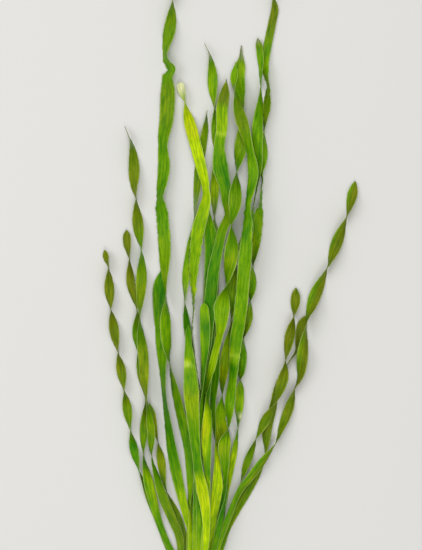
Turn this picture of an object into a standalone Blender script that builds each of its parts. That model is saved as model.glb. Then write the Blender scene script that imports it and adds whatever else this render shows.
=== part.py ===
"""A vallisneria pulled up whole and laid on a flat surface: ribbon leaves, a crown and its roots.

Run with: blender --background --python part.py
Metres, +Z up, leaf tips towards +Y. The origin is on the surface, under the middle of the plant's box.
Each leaf is a twisting ribbon that rests on the leaves laid before it, as a dropped plant's leaves do.
"""

import math

import bmesh
import bpy
import numpy as np

# Driving dimensions, in metres
METRES_PER_PIXEL = 0.0006
MILLIMETRE = 0.001
LEAF_THICKNESS = 0.0007
LEAF_TIP_HALF_WIDTH = 0.0004
PILE_GAP = 0.0007
TOUCH_GAP = 0.0003
LANE_PITCH = 0.0042
COLLAR_WALL = 0.0009
COLLAR_DEPTH = 0.0080
COLLAR_HALF_WIDTH = 0.0116
COLLAR_HALF_HEIGHT = 0.0049
CROWN_LENGTH = 0.0200
CROWN_TAIL_HALF_WIDTH = 0.0052
CROWN_TAIL_HALF_HEIGHT = 0.0036
ROOT_RADIUS = 0.0005
ROOT_TIP_RADIUS = 0.0003
ROOT_PITCH = 0.0012
ROOT_STAGGER = 0.0013
ROOT_STUB = 0.0015

# The photograph's frame: column and row of the crown's mouth, and the row where the leaf bases have
# come together in their lanes
CROWN_COLUMN = 195.0
CROWN_ROW = 606.0
LANE_ROW = 574.0

# The leaf bases sheathe one another in five lanes across the crown, in lane pitches from its middle
FAR_LEFT, LEFT, MIDDLE, RIGHT, FAR_RIGHT = -2, -1, 0, 1, 2

# How sharp a leaf's tip is: the power that its rounded end is raised to
ROUND, OVAL, POINTED = 0.5, 0.8, 1.2

# How a leaf settles: dips shorter than twice the bridge are spanned, slopes are limited, corners rounded
SAMPLE_STEP = 0.0004
BRIDGE_REACH = 0.0100
LEAF_SLOPE = 0.38
CORNER_REACH = 0.0028
TWIST_BLEND = 0.0020
PILE_MARGIN = 0.0200
CELL = 0.0004
SAMPLES_ACROSS = 17
CURVE_STEPS = 60

# How finely a leaf is cut into stations
STATION_TURN = math.radians(33)
STATION_LENGTH = 0.0095
STATION_SAG = 0.00025
TIP_STATIONS = (0.0, 0.12, 0.35, 0.68)

# Leaves from the lowest of the pile to the highest. Each has a tint, the column of the crown that
# holds it, the length in millimetres and the shape of its tip, and three lists read by photograph row:
#   route   (column, row) points that the middle of the blade follows
#   width   (row, blade width in millimetres)
#   twist   (row, half turns), where a whole number lies flat and a half stands on edge
LEAVES = (
    dict(name="tall_right_leaf", tint="leaf_green", lane=RIGHT, tip=(18, POINTED),
         route=((273, -36), (273.6, -6), (274.8, 9), (272.8, 20), (270.6, 31), (267.2, 48),
                (264.8, 64), (266.6, 76), (268.4, 87), (266.8, 108), (264.2, 131), (262.8, 155),
                (261.2, 172), (262.6, 180), (261.4, 189), (260.6, 203), (258.4, 216), (255.4, 240),
                (253, 267), (250.9, 284), (250.3, 301), (247, 320), (243.5, 339), (242, 358),
                (240.2, 380), (239.5, 403), (238, 428), (234.8, 450), (231, 470), (227.7, 490),
                (226, 506), (221, 525), (212, 548)),
         width=((-36, 4.5), (12, 5.0), (50, 5.3), (66, 6.2), (190, 6.2), (240, 7.6), (330, 6.6),
                (400, 5.6), (460, 3.9), (572, 3.2)),
         twist=((-36, -1.0), (-6, -0.5), (8, -0.12), (22, 0), (50, 0.05), (66, 0.17), (73, 0.3),
                (79, 0.42), (88, 0.4), (106, 0.18), (131, 0.5), (155, 1.0), (175, 1.45), (188, 1.5),
                (195, 1.62), (203, 1.55), (217, 1.9), (240, 2.1), (267, 2.5), (284, 3.0),
                (301, 3.5), (320, 4.0), (339, 4.5), (359, 5.0), (372, 5.18), (380, 5.5),
                (388, 5.82), (403, 6.0), (428, 6.5), (460, 7.0), (506, 7.5), (545, 8.0))),
    dict(name="bent_right_leaf", tint="leaf_green", lane=FAR_RIGHT, tip=(5, OVAL),
         route=((257.8, 38), (259.8, 50), (261, 66), (260.8, 86), (260.6, 97), (259.8, 106),
                (258.2, 120), (257.2, 131), (257.3, 155), (257.4, 180), (254.5, 200), (250.5, 220),
                (245.8, 240), (238, 258), (233.5, 274), (231.7, 290), (232, 306), (230.8, 328),
                (227, 350), (223.5, 374), (222, 397), (220.2, 416), (221.6, 432), (222.8, 447),
                (224.5, 463), (225, 482), (222.3, 506), (216.5, 532)),
         width=((38, 4.2), (62, 4.6), (96, 7.0), (400, 6.8), (412, 8.0), (446, 8.6), (470, 5.0),
                (572, 3.2)),
         twist=((38, 0), (50, 0), (66, 0.3), (86, 0.5), (105, 0.7), (120, 0.86), (130, 1.0),
                (160, 1.1), (183, 1.45), (207, 1.5), (226, 1.8), (242, 2.0), (262, 2.5), (285, 3.0),
                (320, 3.5), (360, 4.0), (393, 4.45), (412, 4.85), (440, 5.05), (462, 5.5),
                (500, 6.0))),
    dict(name="straight_middle_leaf", tint="leaf_green", lane=RIGHT, tip=(12, POINTED),
         route=((204.5, 43), (209.8, 55), (212.2, 72), (213, 90), (214.7, 108), (216, 130),
                (215.3, 155), (214.7, 188), (214.6, 218), (213.7, 248), (213.5, 285), (214.8, 330),
                (215.2, 370), (213.4, 398), (213.2, 415), (214.6, 432), (217, 460), (217.4, 484),
                (215.6, 500), (213.6, 515), (211.8, 530), (209.6, 546)),
         width=((43, 5.4), (80, 6.4), (230, 5.0), (300, 5.4), (375, 6.2), (400, 5.0), (441, 4.0),
                (455, 3.4), (470, 5.0), (485, 7.0), (500, 6.4), (515, 5.0), (530, 3.8), (572, 3.2)),
         twist=((43, -0.55), (56, -0.4), (80, 0), (108, 0.5), (130, 1.0), (155, 1.5), (190, 2.0),
                (218, 2.5), (233, 3.0), (248, 3.5), (285, 4.0), (375, 4.1), (400, 4.25),
                (418, 4.28), (432, 4.38), (441, 4.5), (455, 4.8), (468, 4.92), (486, 5.0))),
    dict(name="short_right_leaf", tint="leaf_olive", lane=FAR_RIGHT, tip=(8, POINTED),
         route=((307.5, 314), (301.5, 326), (299.5, 340), (296.5, 352), (289, 362), (281, 374),
                (276, 388), (273.5, 406), (267.3, 430), (265, 455), (257, 474), (248.6, 490),
                (237.2, 510), (227, 530), (220.3, 550)),
         width=((314, 5.6), (440, 5.8), (500, 5.2), (530, 4.2), (572, 3.2)),
         twist=((314, -0.2), (326, 0), (342, 0.2), (352, 0.42), (363, 0.5), (385, 0.62), (405, 0.8),
                (430, 1.0), (455, 1.5), (474, 1.85), (495, 2.0))),
    dict(name="middle_right_leaf", tint="leaf_olive", lane=FAR_RIGHT, tip=(7, OVAL),
         route=((296, 288), (295.5, 302), (294, 316), (290, 335), (286.5, 352), (285, 362),
                (283, 378), (276, 400), (268.3, 415), (262, 427), (256.6, 438), (248.2, 460),
                (241, 482), (236, 500), (225.5, 526), (217.5, 548)),
         width=((288, 6.0), (380, 6.8), (440, 5.4), (482, 4.0), (500, 3.4), (572, 3.2)),
         twist=((288, 0), (300, 0), (316, 0.5), (335, 1.0), (360, 1.5), (381, 2.0), (405, 2.5),
                (420, 3.0), (438, 3.5), (461, 4.0), (482, 4.5), (512, 5.0))),
    dict(name="far_right_leaf", tint="leaf_olive", lane=FAR_RIGHT, tip=(9, OVAL),
         route=((355.5, 181), (353.7, 190), (351.4, 200), (347.2, 216), (338, 240), (332, 256),
                (327.8, 267), (317.5, 290), (311.5, 306), (307.3, 319), (305.3, 332), (302.4, 355),
                (300.3, 376), (294.4, 390), (288.5, 410), (281, 430), (275.8, 443), (260.9, 463),
                (248, 480), (240.2, 490), (230.8, 510), (223.8, 528), (218, 547)),
         width=((181, 6.2), (240, 7.2), (300, 7.6), (360, 7.0), (411, 6.0), (450, 5.8), (470, 4.9),
                (490, 3.8), (510, 3.1), (572, 3.2)),
         twist=((181, 0), (192, 0), (216, 0.5), (242, 1.0), (267, 1.5), (295, 2.0), (319, 2.45),
                (328, 2.55), (358, 3.0), (388, 3.5), (411, 4.0), (443, 4.5), (470, 5.0))),
    dict(name="far_left_leaf", tint="leaf_olive", lane=FAR_LEFT, tip=(6, OVAL),
         route=((104.5, 250), (106.4, 259), (108.5, 268), (109.3, 290), (110.8, 310), (114, 330),
                (118, 353), (121.3, 372), (124, 391), (127.3, 410), (130.5, 431), (134.5, 453),
                (139.3, 472), (144, 485), (151, 505), (159, 525), (168, 549)),
         width=((250, 6.0), (290, 6.3), (410, 5.8), (455, 5.2), (500, 3.8), (572, 3.2)),
         twist=((250, 0.1), (268, 0.5), (290, 1.0), (310, 1.5), (330, 2.0), (353, 2.5), (372, 3.0),
                (391, 3.5), (410, 4.0), (431, 4.5), (451, 5.0), (472, 5.5), (505, 6.0))),
    dict(name="low_left_leaf", tint="leaf_olive", lane=FAR_LEFT, tip=(5, OVAL),
         route=((126.5, 230), (127, 243), (129.3, 259), (130.6, 282), (134.5, 300), (137, 311),
                (136.6, 332), (138, 352), (141.5, 374), (145.5, 400), (144, 428), (143.5, 455),
                (147.5, 478), (152, 497), (158, 520), (166, 541)),
         width=((230, 5.2), (300, 5.5), (440, 5.4), (487, 6.2), (530, 4.0), (572, 3.2)),
         twist=((230, 0), (243, 0.1), (259, 0.5), (283, 1.0), (311, 1.5), (332, 2.0), (352, 2.5),
                (374, 3.0), (400, 3.5), (428, 4.0), (455, 4.5), (487, 5.0))),
    dict(name="small_left_leaf", tint="leaf_olive", lane=FAR_LEFT, tip=(8, POINTED),
         route=((149.5, 403), (152.3, 418), (155.5, 432), (158, 443), (161, 461), (163.3, 479),
                (167, 493), (175.6, 513), (181.8, 530), (185, 550)),
         width=((403, 5.2), (470, 5.2), (520, 4.6), (572, 3.2)),
         twist=((403, -0.1), (420, 0.1), (443, 0.5), (462, 1.0), (493, 1.5), (522, 2.0))),
    dict(name="upper_left_leaf", tint="leaf_green", lane=FAR_LEFT, tip=(12, POINTED),
         route=((124.6, 126), (127.5, 133), (131.5, 145), (133.8, 165), (134.2, 185), (136, 199),
                (137.5, 220), (139.8, 240), (141.3, 250), (141.5, 270), (141.2, 290), (140, 319),
                (141.5, 340), (143.6, 358), (144.5, 378), (147, 400), (151, 430), (151.7, 456),
                (156, 474), (163, 497), (172.5, 520), (180, 541)),
         width=((126, 6.2), (170, 7.0), (285, 6.8), (372, 6.4), (434, 5.0), (500, 5.8), (540, 4.8),
                (572, 3.2)),
         twist=((126, -0.6), (140, -0.45), (170, 0), (199, 0.5), (225, 1.0), (250, 1.5), (281, 2.0),
                (319, 2.5), (350, 2.95), (372, 3.1), (400, 3.5), (434, 4.0), (456, 4.5),
                (500, 5.0))),
    dict(name="slim_middle_leaf", tint="leaf_olive", lane=LEFT, tip=(10, POINTED),
         route=((207, 110), (205, 130), (201.8, 150), (198.5, 170), (197, 190), (195, 210),
                (193.6, 230), (189.5, 252), (186, 275), (184.9, 302), (186.5, 324), (190, 350),
                (192.5, 390), (193, 440), (190.5, 500), (189, 545)),
         width=((110, 4.6), (160, 5.2), (320, 4.8), (572, 3.2)),
         twist=((110, -0.45), (137, -0.12), (158, 0), (188, 0.15), (217, 0.5), (248, 0.95),
                (275, 1.05), (302, 1.5), (322, 1.85), (350, 2.0))),
    dict(name="dark_left_leaf", tint="leaf_dark", lane=LEFT, tip=(14, POINTED),
         route=((161, 270), (159, 282), (159.3, 305), (160.5, 330), (162, 352), (163, 375),
                (164.6, 398), (168.5, 426), (172, 450), (177.8, 480), (182.4, 500), (187.3, 520),
                (190.8, 536)),
         width=((270, 8.0), (300, 8.3), (350, 8.0), (470, 7.2), (490, 6.0), (505, 5.0), (520, 4.4),
                (535, 3.6), (572, 3.2)),
         twist=((270, -0.05), (300, 0), (328, 0.2), (345, 0.14), (370, 0.32), (392, 0.39),
                (406, 0.37), (435, 0.26), (475, 0.05), (500, 0))),
    dict(name="tall_left_leaf", tint="leaf_green", lane=LEFT, tip=(18, POINTED),
         route=((176, -30), (173, -4), (171, 20), (167.4, 41), (165.2, 54), (167.4, 62),
                (170.8, 70), (167.8, 79), (167.8, 90), (166.5, 118), (163, 143), (164, 168),
                (160.5, 196), (162.3, 216), (164.6, 245), (164.9, 275), (165.8, 298), (165.5, 326),
                (167.3, 348), (169.7, 364), (175.3, 390), (182, 420), (187.6, 446), (189.8, 468),
                (190.4, 488), (190.2, 506), (191, 525), (191, 543)),
         width=((-30, 6.4), (30, 7.6), (98, 9.4), (180, 8.8), (260, 8.6), (400, 7.0), (455, 5.4),
                (500, 4.6), (530, 4.0), (572, 3.2)),
         twist=((-30, -1.0), (2, -0.47), (12, -0.28), (20, -0.15), (30, 0), (40, 0.21), (50, 0.34),
                (56, 0.4), (61, 0.35), (69, 0.3), (79, 0.21), (90, 0.08), (98, 0), (122, 0.1),
                (145, 0.28), (168, 0.15), (188, 0.26), (197, 0.36), (210, 0.14), (240, 0.1),
                (262, 0.22), (280, 0.38), (298, 0.5), (322, 0.84), (342, 0.8), (363, 0.5),
                (392, 0.26), (430, 0.1), (470, 0.08), (488, 0.24), (508, 0.5), (524, 0.8),
                (542, 1.0))),
    dict(name="broad_middle_leaf", tint="leaf_green", lane=MIDDLE, tip=(20, POINTED),
         route=((209.5, 211), (210.2, 230), (212, 250), (211.4, 280), (210, 305), (207.5, 345),
                (205.5, 390), (202, 420), (198, 455), (197, 500), (195.5, 550)),
         width=((211, 9.0), (280, 9.4), (330, 9.0), (420, 5.4), (572, 3.2)),
         twist=((211, -0.25), (235, -0.05), (300, 0))),
    dict(name="yellow_leaf", tint="leaf_yellow", lane=MIDDLE, tip=(3, ROUND),
         route=((179.8, 82), (181.5, 90), (184.7, 101), (188.6, 119), (194.3, 140), (199.3, 160),
                (204.3, 180), (206.4, 195), (203.8, 210), (198.3, 230), (195.6, 250), (193.5, 275),
                (193.5, 311), (192, 332), (194.6, 355), (198, 382), (200, 410), (199, 440),
                (198.5, 475), (197, 510), (195.5, 550)),
         width=((82, 4.8), (95, 5.4), (130, 7.6), (190, 6.6), (230, 8.4), (290, 7.0), (350, 5.6),
                (480, 5.0), (530, 4.2), (572, 3.2)),
         twist=((82, 0), (89, 0.05), (101, 0.5), (124, 1.0), (165, 1.08), (182, 1.22), (193, 1.28),
                (206, 1.12), (230, 1.0), (255, 1.1), (285, 1.3), (311, 1.5), (375, 1.5), (420, 1.8),
                (465, 2.0))),
    dict(name="hooked_middle_leaf", tint="leaf_dark", lane=MIDDLE, tip=(13, POINTED),
         route=((226.5, 79), (224.6, 94), (222, 110), (221.8, 130), (219.3, 146), (220.5, 168),
                (225, 186), (227.2, 202), (229.4, 215), (224, 227), (221.5, 234), (218, 250),
                (213.8, 270), (211.3, 292), (208.3, 325), (205.6, 360), (204, 384), (201.5, 408),
                (199, 436), (198.2, 470), (196.4, 515)),
         width=((79, 6.4), (110, 7.4), (148, 7.2), (168, 10.0), (186, 7.6), (250, 6.8), (300, 8.0),
                (400, 6.0), (520, 4.4), (572, 3.2)),
         twist=((79, -0.1), (95, 0), (125, 0.05), (145, 0.12), (168, 0), (190, 0.12), (205, 0.2),
                (214, 0.22), (230, 0.2), (255, 0.1), (290, 0), (345, 0.2), (378, 0.5), (410, 0.8),
                (450, 1.0))),
    dict(name="small_front_leaf", tint="leaf_green", lane=MIDDLE, tip=(5, ROUND),
         route=((204, 303), (204.4, 312), (205, 326), (205, 345), (204.4, 362), (203.6, 380),
                (201.5, 410), (199.6, 445), (199.2, 485), (199.8, 515), (199.2, 545)),
         width=((303, 5.4), (325, 6.6), (400, 5.2), (480, 4.4), (535, 4.4), (572, 3.2)),
         twist=((303, 0), (332, 0), (352, 0.22), (370, 0.38), (382, 0.46), (410, 0.7), (460, 1.0))),
    dict(name="long_twisted_leaf", tint="leaf_green", lane=RIGHT, tip=(3, POINTED),
         route=((241.5, 45), (241, 60), (238.6, 78), (240.6, 95), (243.4, 111), (243, 130),
                (240.3, 150), (236.8, 172), (235.4, 190), (234.4, 208), (231.4, 226), (232, 243),
                (230.2, 262), (226, 286), (222, 306), (220.5, 330), (214, 358), (208.5, 382),
                (206.4, 396), (207.8, 412), (206.4, 440), (207.3, 468), (207.6, 492), (207, 512),
                (203.8, 540)),
         width=((45, 1.2), (54, 2.0), (60, 4.2), (66, 7.0), (80, 8.2), (200, 8.2), (253, 8.9),
                (308, 10.2), (345, 6.6), (435, 6.6), (450, 5.8), (460, 4.9), (470, 4.1), (490, 3.7),
                (530, 3.9), (572, 3.2)),
         twist=((45, 0), (82, 0.05), (111, 0.5), (145, 1.0), (172, 1.5), (199, 2.0), (226, 2.5),
                (253, 3.0), (286, 3.5), (308, 4.0), (333, 4.3), (365, 4.25), (395, 4.5),
                (412, 4.78), (432, 5.0), (462, 5.08), (492, 5.1), (535, 5.0))),
    dict(name="broad_front_leaf", tint="leaf_green", lane=RIGHT, tip=(5, POINTED),
         route=((188.5, 325), (188.4, 342), (189.3, 358), (190.8, 380), (192.2, 402), (194.4, 430),
                (196.8, 455), (198.8, 471), (202.4, 489), (205.2, 505), (206.4, 521), (205.8, 542)),
         width=((325, 3.4), (345, 4.4), (356, 6.4), (390, 9.8), (430, 7.2), (455, 5.8), (470, 6.2),
                (489, 7.4), (505, 6.2), (521, 4.8), (545, 3.8), (572, 3.2)),
         twist=((325, -0.1), (385, 0), (440, 0.1), (460, 0.14), (476, 0.1), (490, 0))),
    dict(name="front_right_leaf", tint="leaf_green", lane=FAR_RIGHT, tip=(10, POINTED),
         route=((236, 62), (234, 78), (234.5, 91), (238.2, 110), (244, 129), (249.5, 150),
                (253, 172), (251, 188), (247.8, 204), (247.6, 222), (246.4, 238), (244.9, 258),
                (243.3, 278), (241.6, 300), (239.3, 320), (235.9, 340), (234.2, 362), (232, 384),
                (229.6, 404), (228.6, 424), (224.3, 446), (225.4, 472), (225, 497), (218.5, 529)),
         width=((62, 4.6), (91, 6.0), (120, 7.6), (180, 6.6), (205, 5.4), (250, 8.2), (335, 8.0),
                (362, 6.8), (405, 6.8), (446, 8.1), (480, 5.0), (572, 3.2)),
         twist=((62, 0), (76, 0.15), (91, 0.5), (120, 1.0), (136, 1.2), (152, 1.3), (172, 1.05),
                (190, 1.2), (206, 1.3), (222, 1.15), (240, 1.1), (262, 0.95), (290, 1.08),
                (318, 0.94), (342, 1.04), (358, 1.12), (378, 1.25), (402, 1.1), (428, 1.5),
                (446, 2.0), (478, 2.35), (497, 2.5), (530, 3.0))),
)

# Colours of the real surfaces, linear RGB, with the roughness of each
FINISHES = {
    "leaf_green": ((0.16, 0.36, 0.010), 0.32),
    "leaf_dark": ((0.085, 0.27, 0.012), 0.34),
    "leaf_olive": ((0.17, 0.27, 0.022), 0.36),
    "leaf_yellow": ((0.46, 0.62, 0.025), 0.32),
    "crown_pale": ((0.62, 0.58, 0.36), 0.50),
    "root_cream": ((0.66, 0.56, 0.40), 0.60),
}

# Roots fan out behind the crown: heading in degrees from -Y, length in metres, sideways sway in metres
ROOTS = (
    ("root_1", -62, 0.030, 0.003),
    ("root_2", -42, 0.038, -0.004),
    ("root_3", -25, 0.046, 0.005),
    ("root_4", -9, 0.050, -0.004),
    ("root_5", 8, 0.047, 0.004),
    ("root_6", 24, 0.050, -0.005),
    ("root_7", 41, 0.040, 0.004),
    ("root_8", 60, 0.032, -0.003),
)
# Where a root bends: share of its length, of its sway, and of its height above the surface
ROOT_BENDS = ((0.16, 0.0, 0.75), (0.4, 0.6, 0.15), (0.7, -0.5, 0.0), (1.0, 0.4, 0.0))
ROOT_SIDES = 6
ROOT_STATIONS = 12

# The crown's outline stands between a round and a square one, and closes in towards its tail:
# share of its length behind the mouth, share of its width, and share of its height left out below and above
CROWN_SQUARENESS = 3.0
CROWN_SIDES = 22
CROWN_SWELL = ((0.85, 0.74, 0.10), (0.62, 0.97, 0.0), (0.30, 1.0, 0.0))
SMOOTH_ANGLE = math.radians(40)


def clear_scene():
    """Removes whatever the file holds."""
    for thing in list(bpy.data.objects):
        bpy.data.objects.remove(thing, do_unlink=True)


def finish(name):
    """One Principled material, made once and shared by the pieces of its colour."""
    found = bpy.data.materials.get(name)
    if found:
        return found
    colour, roughness = FINISHES[name]
    material = bpy.data.materials.new(name)
    material.use_nodes = True
    shader = material.node_tree.nodes["Principled BSDF"]
    shader.inputs["Base Color"].default_value = (*colour, 1.0)
    shader.inputs["Roughness"].default_value = roughness
    shader.inputs["Metallic"].default_value = 0.0
    material.diffuse_color = (*colour, 1.0)
    return material


def smooth_curve(points, step):
    """Points every step along a Catmull-Rom curve through the given points."""
    points = np.asarray(points, dtype=float)
    ends = np.vstack([2 * points[0] - points[1], points, 2 * points[-1] - points[-2]])
    fine = []
    for before, start, end, after in zip(ends, ends[1:], ends[2:], ends[3:]):
        t = np.linspace(0, 1, CURVE_STEPS, endpoint=False)[:, None]
        bend = 2 * before - 5 * start + 4 * end - after
        swing = 3 * (start - end) + after - before
        fine.append(start + 0.5 * t * (end - before + t * (bend + t * swing)))
    fine = np.vstack([*fine, points[-1:]])
    along = np.concatenate([[0], np.cumsum(np.linalg.norm(np.diff(fine, axis=0), axis=1))])
    wanted = np.linspace(0, along[-1], max(2, round(along[-1] / step)) + 1)
    return np.stack([np.interp(wanted, along, column) for column in fine.T], axis=1), wanted


def running(values, reach, rule):
    """Applies rule to the values within reach samples on either side of each value."""
    padded = np.pad(values, reach, mode="edge")
    return rule(np.lib.stride_tricks.sliding_window_view(padded, 2 * reach + 1), axis=1)


def eased(needed):
    """The low, gently bending height that nowhere drops under the needed one."""
    bridge, corner = round(BRIDGE_REACH / SAMPLE_STEP), round(CORNER_REACH / SAMPLE_STEP)
    bridged = running(running(needed, bridge, np.max), bridge, np.min)
    climb = LEAF_SLOPE * SAMPLE_STEP * np.arange(len(needed))
    falling = np.maximum.accumulate(bridged + climb) - climb
    rising = np.maximum.accumulate((bridged - climb)[::-1])[::-1] + climb
    return running(running(np.maximum(falling, rising), corner, np.max), corner, np.mean)


def blade_samples(leaf):
    """Plan route, sideways direction, half width and twist angle at close steps down one leaf."""
    mouth = (CROWN_COLUMN + leaf["lane"] * LANE_PITCH / METRES_PER_PIXEL, CROWN_ROW)
    foot = (mouth[0], CROWN_ROW + (COLLAR_DEPTH - TOUCH_GAP) / METRES_PER_PIXEL)
    pixels = np.array([*leaf["route"], (mouth[0], LANE_ROW), mouth, foot])
    plan = np.stack([pixels[:, 0] - CROWN_COLUMN, CROWN_ROW - pixels[:, 1]], axis=1) * METRES_PER_PIXEL
    route, along = smooth_curve(plan, SAMPLE_STEP)
    rows = CROWN_ROW - route[:, 1] / METRES_PER_PIXEL
    half_width = np.interp(rows, *zip(*leaf["width"])) * MILLIMETRE / 2
    tip_length, point = leaf["tip"]
    share = np.clip(along / (tip_length * MILLIMETRE), 0, 1)
    half_width = half_width * (1 - (1 - share) ** 2) ** point
    half_width = np.maximum(half_width, LEAF_TIP_HALF_WIDTH)
    turns = np.interp(rows, *zip(*leaf["twist"]))
    angle = running(turns * math.pi, round(TWIST_BLEND / SAMPLE_STEP), np.mean)
    heading = np.gradient(route, axis=0)
    heading /= np.linalg.norm(heading, axis=1)[:, None]
    sideways = np.stack([-heading[:, 1], heading[:, 0]], axis=1)
    return route, along, sideways, half_width, angle


class Pile:
    """Heights of what already lies on the surface, cell by cell."""

    def __init__(self, low, high):
        self.low = np.array(low)
        size = np.ceil((np.array(high) - self.low) / CELL).astype(int) + 1
        self.top = np.full(size, -PILE_GAP)

    def cells(self, places):
        """Index of the cell under each place."""
        index = np.round((places - self.low) / CELL).astype(int)
        return tuple(np.moveaxis(index, -1, 0))

    def lay(self, route, sideways, half_width, angle):
        """Height of the blade's middle so that it clears what is below, and adds the blade to the pile."""
        across = np.linspace(-1, 1, SAMPLES_ACROSS)
        reach = across * half_width[:, None]
        flat = reach * np.cos(angle)[:, None]
        rise = reach * np.sin(angle)[:, None]
        cells = self.cells(route[:, None, :] + flat[..., None] * sideways[:, None, :])
        needed = (self.top[cells] + PILE_GAP + LEAF_THICKNESS / 2 - rise).max(axis=1)
        height = eased(needed)
        top = height[:, None] + rise + LEAF_THICKNESS / 2
        for across_cells in (-1, 0, 1):
            for along_cells in (-1, 0, 1):
                np.maximum.at(self.top, (cells[0] + across_cells, cells[1] + along_cells), top)
        return height


def laid_leaves():
    """Each leaf's samples with the height at which it rests on the leaves before it."""
    samples = [blade_samples(leaf) for leaf in LEAVES]
    corners = np.vstack([route for route, *_ in samples])
    pile = Pile(corners.min(axis=0) - PILE_MARGIN, corners.max(axis=0) + PILE_MARGIN)
    mouth = pile.cells(np.zeros(2))[1]
    columns = pile.low[0] + CELL * np.arange(len(pile.top))
    inside = np.clip(1 - np.abs(columns / COLLAR_HALF_WIDTH) ** CROWN_SQUARENESS, 0, 1)
    floor = COLLAR_HALF_HEIGHT * (1 - inside ** (1 / CROWN_SQUARENESS))
    pile.top[:, :mouth] = (COLLAR_WALL + floor + TOUCH_GAP - PILE_GAP)[:, None]
    laid = []
    for route, along, sideways, half_width, angle in samples:
        height = pile.lay(route, sideways, half_width, angle)
        laid.append((route, along, sideways, half_width, angle, height))
    return laid


def station_places(along, angle, height, tip):
    """Distances along a leaf at which it gets a cross-section: closer where it twists, bends or ends."""
    turn = np.abs(np.gradient(angle, along)) / STATION_TURN
    bend = np.abs(np.gradient(np.gradient(height, along), along))
    density = np.maximum(np.maximum(turn, np.sqrt(bend / (8 * STATION_SAG))), 1 / STATION_LENGTH)
    count = np.concatenate([[0], np.cumsum((density[1:] + density[:-1]) / 2 * np.diff(along))])
    tip_length = tip[0] * MILLIMETRE
    start = np.interp(tip_length, along, count)
    steps = max(2, math.ceil(count[-1] - start))
    body = np.interp(np.linspace(start, count[-1], steps + 1), count, along)
    return np.concatenate([np.array(TIP_STATIONS) * tip_length, body])


def add_object(name, mesh, material):
    """Links a mesh as a named object with its material."""
    mesh.materials.append(finish(material))
    thing = bpy.data.objects.new(name, mesh)
    bpy.context.collection.objects.link(thing)
    return thing


def blade_corners(sample, place):
    """Margin, upper middle, other margin and lower middle of a leaf's cross-section at one place."""
    route, along, sideways, half_width, angle, height = sample
    at = [np.interp(place, along, column) for column in (*route.T, height, *sideways.T, half_width, angle)]
    centre = np.array(at[0:3])
    level = np.array([at[3], at[4], 0.0])
    level /= np.linalg.norm(level)
    half, turn = at[5], at[6]
    up = np.array([0.0, 0.0, 1.0])
    side = level * math.cos(turn) + up * math.sin(turn)
    face = up * math.cos(turn) - level * math.sin(turn)
    thick = face * LEAF_THICKNESS / 2
    return [centre + side * half, centre + thick, centre - side * half, centre - thick]


def make_leaf(leaf, sample):
    """One closed blade, thick in the middle and thin at its margins."""
    bm = bmesh.new()
    sections = []
    for place in station_places(sample[1], sample[4], sample[5], leaf["tip"]):
        sections.append([bm.verts.new(corner) for corner in blade_corners(sample, place)])
    for first, second in zip(sections, sections[1:]):
        for margin in (0, 2):
            for middle in (1, 3):
                triangles = [(first[margin], first[middle], second[middle]),
                             (first[margin], second[middle], second[margin])]
                for triangle in triangles:
                    bm.faces.new(triangle)
    bm.faces.new(sections[0])
    bm.faces.new(sections[-1])
    bmesh.ops.recalc_face_normals(bm, faces=bm.faces)
    mesh = bpy.data.meshes.new(leaf["name"])
    bm.to_mesh(mesh)
    bm.free()
    return add_object(leaf["name"], mesh, leaf["tint"])


def rounded_ring(half_width, low, high, y):
    """A ring between a round and a square outline, standing across the Y axis."""
    middle, half_height = (low + high) / 2, (high - low) / 2
    ring = []
    for corner in range(CROWN_SIDES):
        turn = 2 * math.pi * (corner + 0.5) / CROWN_SIDES
        across = math.copysign(abs(math.cos(turn)) ** (2 / CROWN_SQUARENESS), math.cos(turn))
        upward = math.copysign(abs(math.sin(turn)) ** (2 / CROWN_SQUARENESS), math.sin(turn))
        ring.append((half_width * across, y, middle + half_height * upward))
    return ring


def skin(name, rings, material):
    """Closed solid over a row of rings, with a face on the first and the last, shaded smooth."""
    bm = bmesh.new()
    loops = [[bm.verts.new(corner) for corner in ring] for ring in rings]
    for first, second in zip(loops, loops[1:]):
        for here in range(len(first)):
            beyond = (here + 1) % len(first)
            bm.faces.new((first[here], first[beyond], second[beyond], second[here]))
    bm.faces.new(loops[0])
    bm.faces.new(loops[-1])
    bmesh.ops.recalc_face_normals(bm, faces=bm.faces)
    mesh = bpy.data.meshes.new(name)
    bm.to_mesh(mesh)
    bm.free()
    mesh.shade_smooth()
    mesh.set_sharp_from_angle(angle=SMOOTH_ANGLE)
    return add_object(name, mesh, material)


def make_crown():
    """Short pale stock whose collar sheathes the leaf bases, with a flat tail that the roots leave."""
    inner, ceiling = COLLAR_HALF_WIDTH, COLLAR_WALL + 2 * COLLAR_HALF_HEIGHT
    outer, top = inner + COLLAR_WALL, ceiling + COLLAR_WALL
    middle = top / 2
    tail_low, tail_high = middle - CROWN_TAIL_HALF_HEIGHT, middle + CROWN_TAIL_HALF_HEIGHT
    rings = [rounded_ring(CROWN_TAIL_HALF_WIDTH, tail_low, tail_high, -CROWN_LENGTH)]
    for back, width, left_out in CROWN_SWELL:
        low = left_out * top
        rings.append(rounded_ring(width * outer, low, top - low, -back * CROWN_LENGTH))
    lip = COLLAR_WALL / 2
    rings.append(rounded_ring(outer - lip, lip, top - lip, 0.0))
    rings.append(rounded_ring(inner, COLLAR_WALL, ceiling, -lip))
    rings.append(rounded_ring(inner, COLLAR_WALL, ceiling, -COLLAR_DEPTH))
    skin("crown", rings, "crown_pale")
    return middle


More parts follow.
